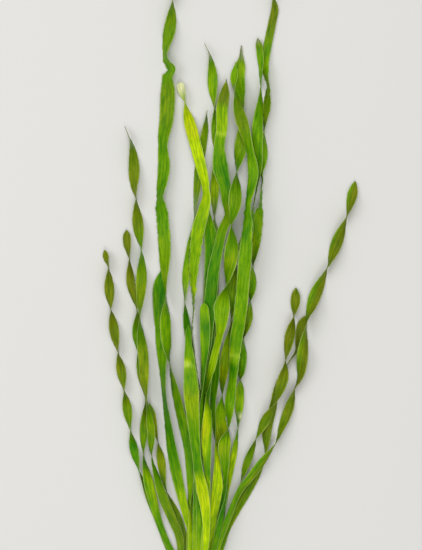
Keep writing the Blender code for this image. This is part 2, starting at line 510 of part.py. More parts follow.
def make_root(order, name, heading, length, sway, height):
    """A thin root that leaves the crown's tail, drops to the surface and wanders to its tip."""
    turn = math.radians(heading)
    height += ROOT_STAGGER * (-1) ** order
    start = np.array([(order - (len(ROOTS) - 1) / 2) * ROOT_PITCH, -CROWN_LENGTH - TOUCH_GAP])
    ahead = np.array([math.sin(turn), -math.cos(turn)])
    beside = np.array([-ahead[1], ahead[0]])
    places = [(*start, height), (start[0], start[1] - ROOT_STUB, height)]
    for share, offset, lift in ROOT_BENDS:
        place = start + ahead * length * share + beside * sway * offset
        places.append((*place, ROOT_RADIUS + (height - ROOT_RADIUS) * lift))
    route, _ = smooth_curve(places, length / (ROOT_STATIONS - 1))
    heading_at = np.gradient(route, axis=0)
    rings = []
    for station, (centre, onward) in enumerate(zip(route, heading_at)):
        onward = onward / np.linalg.norm(onward)
        across = np.cross(onward, (0, 0, 1))
        across /= np.linalg.norm(across)
        above = np.cross(across, onward)
        share = station / (len(route) - 1)
        radius = ROOT_RADIUS + (ROOT_TIP_RADIUS - ROOT_RADIUS) * share
        angles = [2 * math.pi * side / ROOT_SIDES for side in range(ROOT_SIDES)]
        rings.append([centre + radius * (across * math.cos(a) + above * math.sin(a)) for a in angles])
    skin(name, rings, "root_cream")


def centre_on_surface():
    """Moves every mesh so that the plant's box stands on the origin."""
    pieces = [thing for thing in bpy.data.objects if thing.type == "MESH"]
    corners = np.array([vertex.co for thing in pieces for vertex in thing.data.vertices])
    low, high = corners.min(axis=0), corners.max(axis=0)
    shift = ((low[0] + high[0]) / 2, (low[1] + high[1]) / 2, low[2])
    for thing in pieces:
        for vertex in thing.data.vertices:
            vertex.co = [value - moved for value, moved in zip(vertex.co, shift)]


def main():
    """Lays the leaves one on another, and adds the crown and the roots."""
    clear_scene()
    laid = laid_leaves()
    for leaf, sample in zip(LEAVES, laid):
        make_leaf(leaf, sample)
    tail_height = make_crown()
    for order, (name, heading, length, sway) in enumerate(ROOTS):
        make_root(order, name, heading, length, sway, tail_height)
    centre_on_surface()


main()
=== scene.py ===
# %% [markdown]
# # A vallisneria, lying as picked
# A vallisneria is an aquarium plant: a rosette of ribbon leaves that twist like a corkscrew, a short crown
# that sheathes them, and thin roots. This one was pulled up whole and laid on a flat surface, and it is seen
# from straight above, tips away from the viewer.
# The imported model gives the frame: where each leaf, the crown and each root lies. Its solids are plain. Here
# each one is replaced by a finer mesh in the same place, with the leaf's veins, margins and colours.
# Everything is in metres, with +Z up and +Y towards the leaf tips.

import math

import bpy
import numpy as np
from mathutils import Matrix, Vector


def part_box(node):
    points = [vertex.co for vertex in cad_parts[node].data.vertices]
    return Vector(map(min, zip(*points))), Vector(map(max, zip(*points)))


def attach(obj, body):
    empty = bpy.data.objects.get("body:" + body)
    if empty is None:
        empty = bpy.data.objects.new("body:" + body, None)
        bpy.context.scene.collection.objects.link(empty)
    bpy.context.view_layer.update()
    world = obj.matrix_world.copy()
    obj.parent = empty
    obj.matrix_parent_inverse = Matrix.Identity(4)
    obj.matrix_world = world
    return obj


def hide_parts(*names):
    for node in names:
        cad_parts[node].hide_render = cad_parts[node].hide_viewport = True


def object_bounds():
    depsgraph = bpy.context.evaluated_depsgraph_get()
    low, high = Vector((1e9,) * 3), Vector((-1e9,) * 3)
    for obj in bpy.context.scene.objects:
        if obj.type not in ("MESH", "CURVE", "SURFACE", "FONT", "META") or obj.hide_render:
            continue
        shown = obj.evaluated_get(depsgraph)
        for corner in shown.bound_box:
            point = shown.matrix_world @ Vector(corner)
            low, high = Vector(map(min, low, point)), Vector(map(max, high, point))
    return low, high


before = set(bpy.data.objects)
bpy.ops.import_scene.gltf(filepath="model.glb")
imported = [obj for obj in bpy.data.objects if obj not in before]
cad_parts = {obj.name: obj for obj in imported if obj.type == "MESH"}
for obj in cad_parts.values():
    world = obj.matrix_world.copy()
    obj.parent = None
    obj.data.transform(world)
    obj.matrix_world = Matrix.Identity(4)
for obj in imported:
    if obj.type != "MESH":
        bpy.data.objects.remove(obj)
cad_low, cad_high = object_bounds()
print("CAD box, mm:", [round(1000 * side) for side in cad_high - cad_low], "in", len(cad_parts), "nodes")

# %% [markdown]
# ## Where the photograph's pixels are
# The camera looks straight down, so a pixel of the photograph is a place on the surface: 0.6 mm a pixel,
# counted from the mouth of the crown, which lies just below the photograph's lower edge. The crown's own box
# in the frame gives that place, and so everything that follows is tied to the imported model.

# %% The photograph's frame on the surface
METRES_PER_PIXEL = 0.0006
PHOTO_WIDTH, PHOTO_HEIGHT = 422, 550
CROWN_COLUMN, CROWN_ROW = 195.0, 606.0
crown_low, crown_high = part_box("crown")
MOUTH = np.array([(crown_low.x + crown_high.x) / 2, crown_high.y])


def on_surface(columns, rows):
    """Places on the surface for photograph columns and rows."""
    across = MOUTH[0] + (np.asarray(columns, dtype=float) - CROWN_COLUMN) * METRES_PER_PIXEL
    away = MOUTH[1] + (CROWN_ROW - np.asarray(rows, dtype=float)) * METRES_PER_PIXEL
    return np.stack([across, away], axis=-1)


spread = on_surface([0, PHOTO_WIDTH], [PHOTO_HEIGHT, 0])
print("the photograph spans, mm:", np.round(1000 * spread).tolist())

# %% [markdown]
# ## The camera
# The photograph shows no converging lines, as from a long lens some way off. A lens of that kind also keeps
# the raised leaves from shifting sideways. The sensor's long side is the picture's height, so the focal
# length follows from the distance and the height of the field.

# %% Camera straight above the plant
CAMERA_HEIGHT = 1.5
# at this height, with about half of the leaves below it, the picture spans the photograph's field exactly
FIELD_LEVEL = 0.005
# in millimetres, as Blender gives sensors and lenses
SENSOR = 36.0
field = PHOTO_HEIGHT * METRES_PER_PIXEL
lens = bpy.data.cameras.new("camera")
lens.sensor_width = SENSOR
lens.lens = SENSOR * (CAMERA_HEIGHT - FIELD_LEVEL) / field
camera = bpy.data.objects.new("camera", lens)
camera.location = (*on_surface(PHOTO_WIDTH / 2, PHOTO_HEIGHT / 2), CAMERA_HEIGHT)
bpy.context.collection.objects.link(camera)
bpy.context.scene.camera = camera
print("lens, mm:", round(lens.lens), "at, mm:", [round(1000 * place) for place in camera.location])

# %% [markdown]
# ## The surface and the light
# A pale sheet lies under the plant. Two big soft lamps hang beyond the tips and the crown, so their light
# runs along the leaves and reaches the low ones between the high ones. A third, on the left, gives each turn
# of a leaf a lit side and a shaded side, as in the photograph. A lamp straight above would be simpler, but
# every flat face would mirror it into the camera. The world adds a weak even fill.

# %% Floor
FLOOR_HALF = 2.0
FLOOR_GAP = 0.0002
PAPER = "#DFDEDA"


def linear(code):
    """Linear RGB with full alpha for an sRGB hex colour."""
    parts = [int(code[place:place + 2], 16) / 255 for place in (1, 3, 5)]
    return (*[part / 12.92 if part <= 0.04045 else ((part + 0.055) / 1.055) ** 2.4 for part in parts], 1.0)


def new_material(name, levels):
    """A material with the given levels on its shader, and its tree, its shader and its output."""
    material = bpy.data.materials.new(name)
    material.use_nodes = True
    tree = material.node_tree
    shader = tree.nodes["Principled BSDF"]
    for socket, level in levels.items():
        shader.inputs[socket].default_value = level
    return material, tree, shader, tree.nodes["Material Output"]


# the loose fibres of matt paper board scatter light evenly, so it is rough and mirrors no lamp
paper = new_material("matt_paper_board", {"Base Color": linear(PAPER), "Roughness": 0.9, "IOR": 1.45})[0]
corners = [(x * FLOOR_HALF, y * FLOOR_HALF, 0) for x, y in ((-1, -1), (1, -1), (1, 1), (-1, 1))]
sheet = bpy.data.meshes.new("floor")
sheet.from_pydata(corners, [], [(0, 1, 2, 3)])
sheet.materials.append(paper)
floor = bpy.data.objects.new("floor", sheet)
floor.location.z = cad_low.z - FLOOR_GAP
bpy.context.collection.objects.link(floor)
print("floor at, mm:", round(1000 * floor.location.z, 2))

# %% Lamps and fill
# name, place and side in metres, power in watts
LAMPS = (
    ("tips_lamp", (0.00, 0.70, 1.25), 0.60, 5.2),
    ("crown_lamp", (0.05, -0.75, 1.20), 0.60, 4.4),
    ("left_lamp", (-0.80, 0.20, 1.00), 0.60, 3.4),
)
FILL, FILL_STRENGTH = "#FFFFFF", 0.50
for name, place, side, watts in LAMPS:
    lamp = bpy.data.lights.new(name, "AREA")
    lamp.size = side
    lamp.energy = watts
    hung = bpy.data.objects.new(name, lamp)
    hung.location = place
    hung.rotation_mode = "QUATERNION"
    hung.rotation_quaternion = (-Vector(place)).to_track_quat("-Z", "Y")
    bpy.context.collection.objects.link(hung)
world = bpy.data.worlds.new("even_fill")
world.use_nodes = True
background = world.node_tree.nodes["Background"]
background.inputs["Color"].default_value = linear(FILL)
background.inputs["Strength"].default_value = FILL_STRENGTH
bpy.context.scene.world = world
bpy.context.scene.view_settings.view_transform = "Standard"
print(len(LAMPS), "lamps")

# %% [markdown]
# ## The leaves' places
# The real leaf is a flat ribbon. As it grows it twists, so that its face shows, then its edge, then its other
# face. Three lists hold that for each leaf, read by photograph row: the middle line, the width and the twist.
# They could be drawn as curves by hand, but a list of a few points is easier to read against the photograph.
# The leaves stand in the order in which they lie, the lowest first.

# %% Every leaf, from the lowest of the pile to the highest
# tint is the colour slot, lane the place across the crown's mouth, tip its length in millimetres and its form
# route is (column, row), width (row, millimetres), twist (row, half turns): a whole number lies flat
FAR_LEFT, LEFT, MIDDLE, RIGHT, FAR_RIGHT = -2, -1, 0, 1, 2
ROUND, OVAL, POINTED = 0.5, 0.8, 1.2
LEAVES = (
    dict(name="tall_right_leaf", tint="leaf_green", lane=RIGHT, tip=(18, POINTED),
         route=((273, -36), (273.6, -6), (274.8, 9), (272.8, 20), (270.6, 31), (267.2, 48), (264.8, 64),
                (266.6, 76), (268.4, 87), (266.8, 108), (264.2, 131), (262.8, 155), (261.2, 172),
                (262.6, 180), (261.4, 189), (260.6, 203), (258.4, 216), (255.4, 240), (253, 267),
                (250.9, 284), (250.3, 301), (247, 320), (243.5, 339), (242, 358), (240.2, 380),
                (239.5, 403), (238, 428), (234.8, 450), (231, 470), (227.7, 490), (226, 506), (221, 525),
                (212, 548)),
         width=((-36, 4.5), (12, 5), (50, 5.3), (66, 6.2), (190, 6.2), (240, 7.6), (330, 6.6), (400, 5.6),
                (460, 3.9)),
         twist=((-36, -1), (-6, -0.5), (8, -0.12), (22, 0), (50, 0.05), (66, 0.17), (73, 0.3), (79, 0.42),
                (88, 0.4), (106, 0.18), (131, 0.5), (155, 1), (175, 1.45), (188, 1.5), (195, 1.62),
                (203, 1.55), (217, 1.9), (240, 2.1), (267, 2.5), (284, 3), (301, 3.5), (320, 4), (339, 4.5),
                (359, 5), (372, 5.18), (380, 5.5), (388, 5.82), (403, 6), (428, 6.5), (460, 7), (506, 7.5),
                (545, 8))),
    dict(name="bent_right_leaf", tint="leaf_green", lane=FAR_RIGHT, tip=(5, OVAL),
         route=((257.8, 38), (259.8, 50), (261, 66), (260.8, 86), (260.6, 97), (259.8, 106), (258.2, 120),
                (257.2, 131), (257.3, 155), (257.4, 180), (254.5, 200), (250.5, 220), (245.8, 240),
                (238, 258), (233.5, 274), (231.7, 290), (232, 306), (230.8, 328), (227, 350), (223.5, 374),
                (222, 397), (220.2, 416), (221.6, 432), (222.8, 447), (224.5, 463), (225, 482),
                (222.3, 506), (216.5, 532)),
         width=((38, 4.2), (62, 4.6), (96, 7), (400, 6.8), (412, 8), (446, 8.6), (470, 5)),
         twist=((38, 0), (50, 0), (66, 0.3), (86, 0.5), (105, 0.7), (120, 0.86), (130, 1), (160, 1.1),
                (183, 1.45), (207, 1.5), (226, 1.8), (242, 2), (262, 2.5), (285, 3), (320, 3.5), (360, 4),
                (393, 4.45), (412, 4.85), (440, 5.05), (462, 5.5), (500, 6))),
    dict(name="straight_middle_leaf", tint="leaf_green", lane=RIGHT, tip=(12, POINTED),
         route=((204.5, 43), (209.8, 55), (212.2, 72), (213, 90), (214.7, 108), (216, 130), (215.3, 155),
                (214.7, 188), (214.6, 218), (213.7, 248), (213.5, 285), (214.8, 330), (215.2, 370),
                (213.4, 398), (213.2, 415), (214.6, 432), (217, 460), (217.4, 484), (215.6, 500),
                (213.6, 515), (211.8, 530), (209.6, 546)),
         width=((43, 5.4), (80, 6.4), (230, 5), (300, 5.4), (375, 6.2), (400, 5), (441, 4), (455, 3.4),
                (470, 5), (485, 7), (500, 6.4), (515, 5), (530, 3.8)),
         twist=((43, -0.55), (56, -0.4), (80, 0), (108, 0.5), (130, 1), (155, 1.5), (190, 2), (218, 2.5),
                (233, 3), (248, 3.5), (285, 4), (375, 4.1), (400, 4.25), (418, 4.28), (432, 4.38),
                (441, 4.5), (455, 4.8), (468, 4.92), (486, 5))),
    dict(name="short_right_leaf", tint="leaf_olive", lane=FAR_RIGHT, tip=(8, POINTED),
         route=((307.5, 314), (301.5, 326), (299.5, 340), (296.5, 352), (289, 362), (281, 374), (276, 388),
                (273.5, 406), (267.3, 430), (265, 455), (257, 474), (248.6, 490), (237.2, 510), (227, 530),
                (220.3, 550)),
         width=((314, 5.6), (440, 5.8), (500, 5.2), (530, 4.2)),
         twist=((314, -0.2), (326, 0), (342, 0.2), (352, 0.42), (363, 0.5), (385, 0.62), (405, 0.8),
                (430, 1), (455, 1.5), (474, 1.85), (495, 2))),
    dict(name="middle_right_leaf", tint="leaf_olive", lane=FAR_RIGHT, tip=(7, OVAL),
         route=((296, 288), (295.5, 302), (294, 316), (290, 335), (286.5, 352), (285, 362), (283, 378),
                (276, 400), (268.3, 415), (262, 427), (256.6, 438), (248.2, 460), (241, 482), (236, 500),
                (225.5, 526), (217.5, 548)),
         width=((288, 6), (380, 6.8), (440, 5.4), (482, 4), (500, 3.4)),
         twist=((288, 0), (300, 0), (316, 0.5), (335, 1), (360, 1.5), (381, 2), (405, 2.5), (420, 3),
                (438, 3.5), (461, 4), (482, 4.5), (512, 5))),
    dict(name="far_right_leaf", tint="leaf_olive", lane=FAR_RIGHT, tip=(9, OVAL),
         route=((355.5, 181), (353.7, 190), (351.4, 200), (347.2, 216), (338, 240), (332, 256),
                (327.8, 267), (317.5, 290), (311.5, 306), (307.3, 319), (305.3, 332), (302.4, 355),
                (300.3, 376), (294.4, 390), (288.5, 410), (281, 430), (275.8, 443), (260.9, 463),
                (248, 480), (240.2, 490), (230.8, 510), (223.8, 528), (218, 547)),
         width=((181, 6.2), (240, 7.2), (300, 7.6), (360, 7), (411, 6), (450, 5.8), (470, 4.9), (490, 3.8),
                (510, 3.1)),
         twist=((181, 0), (192, 0), (216, 0.5), (242, 1), (267, 1.5), (295, 2), (319, 2.45), (328, 2.55),
                (358, 3), (388, 3.5), (411, 4), (443, 4.5), (470, 5))),
    dict(name="far_left_leaf", tint="leaf_olive", lane=FAR_LEFT, tip=(6, OVAL),
         route=((104.5, 250), (106.4, 259), (108.5, 268), (109.3, 290), (110.8, 310), (114, 330),
                (118, 353), (121.3, 372), (124, 391), (127.3, 410), (130.5, 431), (134.5, 453),
                (139.3, 472), (144, 485), (151, 505), (159, 525), (168, 549)),
         width=((250, 6), (290, 6.3), (410, 5.8), (455, 5.2), (500, 3.8)),
         twist=((250, 0.1), (268, 0.5), (290, 1), (310, 1.5), (330, 2), (353, 2.5), (372, 3), (391, 3.5),
                (410, 4), (431, 4.5), (451, 5), (472, 5.5), (505, 6))),
    dict(name="low_left_leaf", tint="leaf_olive", lane=FAR_LEFT, tip=(5, OVAL),
         route=((126.5, 230), (127, 243), (129.3, 259), (130.6, 282), (134.5, 300), (137, 311),
                (136.6, 332), (138, 352), (141.5, 374), (145.5, 400), (144, 428), (143.5, 455),
                (147.5, 478), (152, 497), (158, 520), (166, 541)),
         width=((230, 5.2), (300, 5.5), (440, 5.4), (487, 6.2), (530, 4)),
         twist=((230, 0), (243, 0.1), (259, 0.5), (283, 1), (311, 1.5), (332, 2), (352, 2.5), (374, 3),
                (400, 3.5), (428, 4), (455, 4.5), (487, 5))),
    dict(name="small_left_leaf", tint="leaf_olive", lane=FAR_LEFT, tip=(8, POINTED),
         route=((149.5, 403), (152.3, 418), (155.5, 432), (158, 443), (161, 461), (163.3, 479), (167, 493),
                (175.6, 513), (181.8, 530), (185, 550)),
         width=((403, 5.2), (470, 5.2), (520, 4.6)),
         twist=((403, -0.1), (420, 0.1), (443, 0.5), (462, 1), (493, 1.5), (522, 2))),
    dict(name="upper_left_leaf", tint="leaf_green", lane=FAR_LEFT, tip=(12, POINTED),
         route=((124.6, 126), (127.5, 133), (131.5, 145), (133.8, 165), (134.2, 185), (136, 199),
                (137.5, 220), (139.8, 240), (141.3, 250), (141.5, 270), (141.2, 290), (140, 319),
                (141.5, 340), (143.6, 358), (144.5, 378), (147, 400), (151, 430), (151.7, 456), (156, 474),
                (163, 497), (172.5, 520), (180, 541)),
         width=((126, 6.2), (170, 7), (285, 6.8), (372, 6.4), (434, 5), (500, 5.8), (540, 4.8)),
         twist=((126, -0.6), (140, -0.45), (170, 0), (199, 0.5), (225, 1), (250, 1.5), (281, 2), (319, 2.5),
                (350, 2.95), (372, 3.1), (400, 3.5), (434, 4), (456, 4.5), (500, 5))),
    dict(name="slim_middle_leaf", tint="leaf_olive", lane=LEFT, tip=(10, POINTED),
         route=((207, 110), (205, 130), (201.8, 150), (198.5, 170), (197, 190), (195, 210), (193.6, 230),
                (189.5, 252), (186, 275), (184.9, 302), (186.5, 324), (190, 350), (192.5, 390), (193, 440),
                (190.5, 500), (189, 545)),
         width=((110, 4.6), (160, 5.2), (320, 4.8)),
         twist=((110, -0.45), (137, -0.12), (158, 0), (188, 0.15), (217, 0.5), (248, 0.95), (275, 1.05),
                (302, 1.5), (322, 1.85), (350, 2))),
    dict(name="dark_left_leaf", tint="leaf_dark", lane=LEFT, tip=(14, POINTED),
         route=((161, 270), (159, 282), (159.3, 305), (160.5, 330), (162, 352), (163, 375), (164.6, 398),
                (168.5, 426), (172, 450), (177.8, 480), (182.4, 500), (187.3, 520), (190.8, 536)),
         width=((270, 8), (300, 8.3), (350, 8), (470, 7.2), (490, 6), (505, 5), (520, 4.4), (535, 3.6)),
         twist=((270, -0.05), (300, 0), (328, 0.2), (345, 0.14), (370, 0.32), (392, 0.39), (406, 0.37),
                (435, 0.26), (475, 0.05), (500, 0))),
    dict(name="tall_left_leaf", tint="leaf_green", lane=LEFT, tip=(18, POINTED),
         route=((176, -30), (173, -4), (171, 20), (167.4, 41), (165.2, 54), (167.4, 62), (170.8, 70),
                (167.8, 79), (167.8, 90), (166.5, 118), (163, 143), (164, 168), (160.5, 196), (162.3, 216),
                (164.6, 245), (164.9, 275), (165.8, 298), (165.5, 326), (167.3, 348), (169.7, 364),
                (175.3, 390), (182, 420), (187.6, 446), (189.8, 468), (190.4, 488), (190.2, 506),
                (191, 525), (191, 543)),
         width=((-30, 6.4), (30, 7.6), (98, 9.4), (180, 8.8), (260, 8.6), (400, 7), (455, 5.4), (500, 4.6),
                (530, 4)),
         twist=((-30, -1), (2, -0.47), (12, -0.28), (20, -0.15), (30, 0), (40, 0.21), (50, 0.34), (56, 0.4),
                (61, 0.35), (69, 0.3), (79, 0.21), (90, 0.08), (98, 0), (122, 0.1), (145, 0.28),
                (168, 0.15), (188, 0.26), (197, 0.36), (210, 0.14), (240, 0.1), (262, 0.22), (280, 0.38),
                (298, 0.5), (322, 0.84), (342, 0.8), (363, 0.5), (392, 0.26), (430, 0.1), (470, 0.08),
                (488, 0.24), (508, 0.5), (524, 0.8), (542, 1))),
    dict(name="broad_middle_leaf", tint="leaf_green", lane=MIDDLE, tip=(20, POINTED),
         route=((209.5, 211), (210.2, 230), (212, 250), (211.4, 280), (210, 305), (207.5, 345),
                (205.5, 390), (202, 420), (198, 455), (197, 500), (195.5, 550)),
         width=((211, 9), (280, 9.4), (330, 9), (420, 5.4)),
         twist=((211, -0.25), (235, -0.05), (300, 0))),
    dict(name="yellow_leaf", tint="leaf_yellow", lane=MIDDLE, tip=(3, ROUND),
         route=((179.8, 82), (181.5, 90), (184.7, 101), (188.6, 119), (194.3, 140), (199.3, 160),
                (204.3, 180), (206.4, 195), (203.8, 210), (198.3, 230), (195.6, 250), (193.5, 275),
                (193.5, 311), (192, 332), (194.6, 355), (198, 382), (200, 410), (199, 440), (198.5, 475),
                (197, 510), (195.5, 550)),
         width=((82, 4.8), (95, 5.4), (130, 7.6), (190, 6.6), (230, 8.4), (290, 7), (350, 5.6), (480, 5),
                (530, 4.2)),
         twist=((82, 0), (89, 0.05), (101, 0.5), (124, 1), (165, 1.08), (182, 1.22), (193, 1.28),
                (206, 1.12), (230, 1), (255, 1.1), (285, 1.3), (311, 1.5), (375, 1.5), (420, 1.8),
                (465, 2))),
    dict(name="hooked_middle_leaf", tint="leaf_dark", lane=MIDDLE, tip=(13, POINTED),
         route=((226.5, 79), (224.6, 94), (222, 110), (221.8, 130), (219.3, 146), (220.5, 168), (225, 186),
                (227.2, 202), (229.4, 215), (224, 227), (221.5, 234), (218, 250), (213.8, 270),
                (211.3, 292), (208.3, 325), (205.6, 360), (204, 384), (201.5, 408), (199, 436),
                (198.2, 470), (196.4, 515)),
         width=((79, 6.4), (110, 7.4), (148, 7.2), (168, 10), (186, 7.6), (250, 6.8), (300, 8), (400, 6),
                (520, 4.4)),
         twist=((79, -0.1), (95, 0), (125, 0.05), (145, 0.12), (168, 0), (190, 0.12), (205, 0.2),
                (214, 0.22), (230, 0.2), (255, 0.1), (290, 0), (345, 0.2), (378, 0.5), (410, 0.8),
                (450, 1))),
    dict(name="small_front_leaf", tint="leaf_green", lane=MIDDLE, tip=(5, ROUND),
         route=((204, 303), (204.4, 312), (205, 326), (205, 345), (204.4, 362), (203.6, 380), (201.5, 410),
                (199.6, 445), (199.2, 485), (199.8, 515), (199.2, 545)),
         width=((303, 5.4), (325, 6.6), (400, 5.2), (480, 4.4), (535, 4.4)),
         twist=((303, 0), (332, 0), (352, 0.22), (370, 0.38), (382, 0.46), (410, 0.7), (460, 1))),
    dict(name="long_twisted_leaf", tint="leaf_green", lane=RIGHT, tip=(3, POINTED),
         route=((241.5, 45), (241, 60), (238.6, 78), (240.6, 95), (243.4, 111), (243, 130), (240.3, 150),
                (236.8, 172), (235.4, 190), (234.4, 208), (231.4, 226), (232, 243), (230.2, 262),
                (226, 286), (222, 306), (220.5, 330), (214, 358), (208.5, 382), (206.4, 396), (207.8, 412),
                (206.4, 440), (207.3, 468), (207.6, 492), (207, 512), (203.8, 540)),
         width=((45, 1.2), (54, 2), (60, 4.2), (66, 7), (80, 8.2), (200, 8.2), (253, 8.9), (308, 10.2),
                (345, 6.6), (435, 6.6), (450, 5.8), (460, 4.9), (470, 4.1), (490, 3.7), (530, 3.9)),
         twist=((45, 0), (82, 0.05), (111, 0.5), (145, 1), (172, 1.5), (199, 2), (226, 2.5), (253, 3),
                (286, 3.5), (308, 4), (333, 4.3), (365, 4.25), (395, 4.5), (412, 4.78), (432, 5),
                (462, 5.08), (492, 5.1), (535, 5))),
    dict(name="broad_front_leaf", tint="leaf_green", lane=RIGHT, tip=(5, POINTED),
         route=((188.5, 325), (188.4, 342), (189.3, 358), (190.8, 380), (192.2, 402), (194.4, 430),
                (196.8, 455), (198.8, 471), (202.4, 489), (205.2, 505), (206.4, 521), (205.8, 542)),
         width=((325, 3.4), (345, 4.4), (356, 6.4), (390, 9.8), (430, 7.2), (455, 5.8), (470, 6.2),
                (489, 7.4), (505, 6.2), (521, 4.8), (545, 3.8)),
         twist=((325, -0.1), (385, 0), (440, 0.1), (460, 0.14), (476, 0.1), (490, 0))),
    dict(name="front_right_leaf", tint="leaf_green", lane=FAR_RIGHT, tip=(10, POINTED),
         route=((236, 62), (234, 78), (234.5, 91), (238.2, 110), (244, 129), (249.5, 150), (253, 172),
                (251, 188), (247.8, 204), (247.6, 222), (246.4, 238), (244.9, 258), (243.3, 278),
                (241.6, 300), (239.3, 320), (235.9, 340), (234.2, 362), (232, 384), (229.6, 404),
                (228.6, 424), (224.3, 446), (225.4, 472), (225, 497), (218.5, 529)),
         width=((62, 4.6), (91, 6), (120, 7.6), (180, 6.6), (205, 5.4), (250, 8.2), (335, 8), (362, 6.8),
                (405, 6.8), (446, 8.1), (480, 5)),
         twist=((62, 0), (76, 0.15), (91, 0.5), (120, 1), (136, 1.2), (152, 1.3), (172, 1.05), (190, 1.2),
                (206, 1.3), (222, 1.15), (240, 1.1), (262, 0.95), (290, 1.08), (318, 0.94), (342, 1.04),
                (358, 1.12), (378, 1.25), (402, 1.1), (428, 1.5), (446, 2), (478, 2.35), (497, 2.5),
                (530, 3))),
)
print(len(LEAVES), "leaves")

# %% [markdown]
# ## How a leaf settles
# A dropped plant's leaves lie on the table and on one another. One way to get there is a cloth simulation,
# but ribbons this thin tangle, and they don't stop where the photograph shows them. Here each leaf is laid in
# turn instead: the height under it is looked up in a grid, dips that a stiff leaf would span are bridged, the
# slopes are limited and the corners rounded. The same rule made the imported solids, so the fine meshes land in
# the same places.

# %% Smooth curves and running values
MILLIMETRE = 0.001
SAMPLE_STEP = 0.0004
CURVE_STEPS = 60


def smooth_curve(points, step):
    """Points every step along a Catmull-Rom curve through the given ones, and how far along they are."""
    points = np.asarray(points, dtype=float)
    ends = np.vstack([2 * points[0] - points[1], points, 2 * points[-1] - points[-2]])
    fine = []
    for before, start, end, after in zip(ends, ends[1:], ends[2:], ends[3:]):
        t = np.linspace(0, 1, CURVE_STEPS, endpoint=False)[:, None]
        bend = 2 * before - 5 * start + 4 * end - after
        swing = 3 * (start - end) + after - before
        fine.append(start + 0.5 * t * (end - before + t * (bend + t * swing)))
    fine = np.vstack([*fine, points[-1:]])
    along = np.concatenate([[0], np.cumsum(np.linalg.norm(np.diff(fine, axis=0), axis=1))])
    wanted = np.linspace(0, along[-1], max(2, round(along[-1] / step)) + 1)
    return np.stack([np.interp(wanted, along, column) for column in fine.T], axis=1), wanted


def running(values, reach, rule):
    """Applies rule to the values within reach samples on either side of each value."""
    padded = np.pad(values, reach, mode="edge")
    return rule(np.lib.stride_tricks.sliding_window_view(padded, 2 * reach + 1), axis=1)


trial = smooth_curve([(0, 0), (50 * MILLIMETRE, 0), (50 * MILLIMETRE, 50 * MILLIMETRE)], SAMPLE_STEP)[1]
print("a trial curve round a 50 mm corner, mm:", round(1000 * trial[-1], 1), "in", len(trial), "points")

# %% Middle line, width and twist at close steps down a leaf
LANE_PITCH = 0.0042
LANE_ROW = 574.0
COLLAR_DEPTH = 0.0080
TOUCH_GAP = 0.0003
TWIST_BLEND = 0.0020
LEAF_TIP_HALF_WIDTH = 0.0004
# the last pair of every leaf's width, (row, millimetres), a little above the crown's mouth
LEAF_BASE = (572, 3.2)


def blade_samples(leaf):
    """Middle line, sideways direction, half width, twist angle and photograph row down one leaf."""
    lane = CROWN_COLUMN + leaf["lane"] * LANE_PITCH / METRES_PER_PIXEL
    foot = CROWN_ROW + (COLLAR_DEPTH - TOUCH_GAP) / METRES_PER_PIXEL
    columns, rows = np.array([*leaf["route"], (lane, LANE_ROW), (lane, CROWN_ROW), (lane, foot)]).T
    route, along = smooth_curve(on_surface(columns, rows) - MOUTH, SAMPLE_STEP)
    rows = CROWN_ROW - route[:, 1] / METRES_PER_PIXEL
    half_width = np.interp(rows, *zip(*leaf["width"], LEAF_BASE)) * MILLIMETRE / 2
    tip_length, point = leaf["tip"]
    share = np.clip(along / (tip_length * MILLIMETRE), 0, 1)
    half_width = np.maximum(half_width * (1 - (1 - share) ** 2) ** point, LEAF_TIP_HALF_WIDTH)
    turns = np.interp(rows, *zip(*leaf["twist"]))
    angle = running(turns * math.pi, round(TWIST_BLEND / SAMPLE_STEP), np.mean)
    heading = np.gradient(route, axis=0)
    heading /= np.linalg.norm(heading, axis=1)[:, None]
    sideways = np.stack([-heading[:, 1], heading[:, 0]], axis=1)
    return {"route": route, "along": along, "sideways": sideways, "half": half_width, "angle": angle,
            "row": rows}


blades = {leaf["name"]: blade_samples(leaf) for leaf in LEAVES}
print("longest leaf, mm:", round(1000 * max(blade["along"][-1] for blade in blades.values())))

# %% The pile, and each leaf laid on it
LEAF_THICKNESS = 0.0007
PILE_GAP = 0.0007
BRIDGE_REACH = 0.0100
# rise over run of the steepest leaf
LEAF_SLOPE = 0.38
CORNER_REACH = 0.0028
PILE_MARGIN = 0.0200
CELL = 0.0004
SAMPLES_ACROSS = 17
# the crown's collar: the hollow at its mouth, in which the leaf bases lie
COLLAR_WALL = 0.0009
COLLAR_HALF_WIDTH = 0.0116
COLLAR_HALF_HEIGHT = 0.0049
# power of the crown's rounded outline: 2 would be an ellipse
CROWN_SQUARENESS = 3.0


def eased(needed):
    """The low, gently bending height that nowhere drops under the needed one."""
    bridge, corner = round(BRIDGE_REACH / SAMPLE_STEP), round(CORNER_REACH / SAMPLE_STEP)
    bridged = running(running(needed, bridge, np.max), bridge, np.min)
    climb = LEAF_SLOPE * SAMPLE_STEP * np.arange(len(needed))
    falling = np.maximum.accumulate(bridged + climb) - climb
    rising = np.maximum.accumulate((bridged - climb)[::-1])[::-1] + climb
    return running(running(np.maximum(falling, rising), corner, np.max), corner, np.mean)


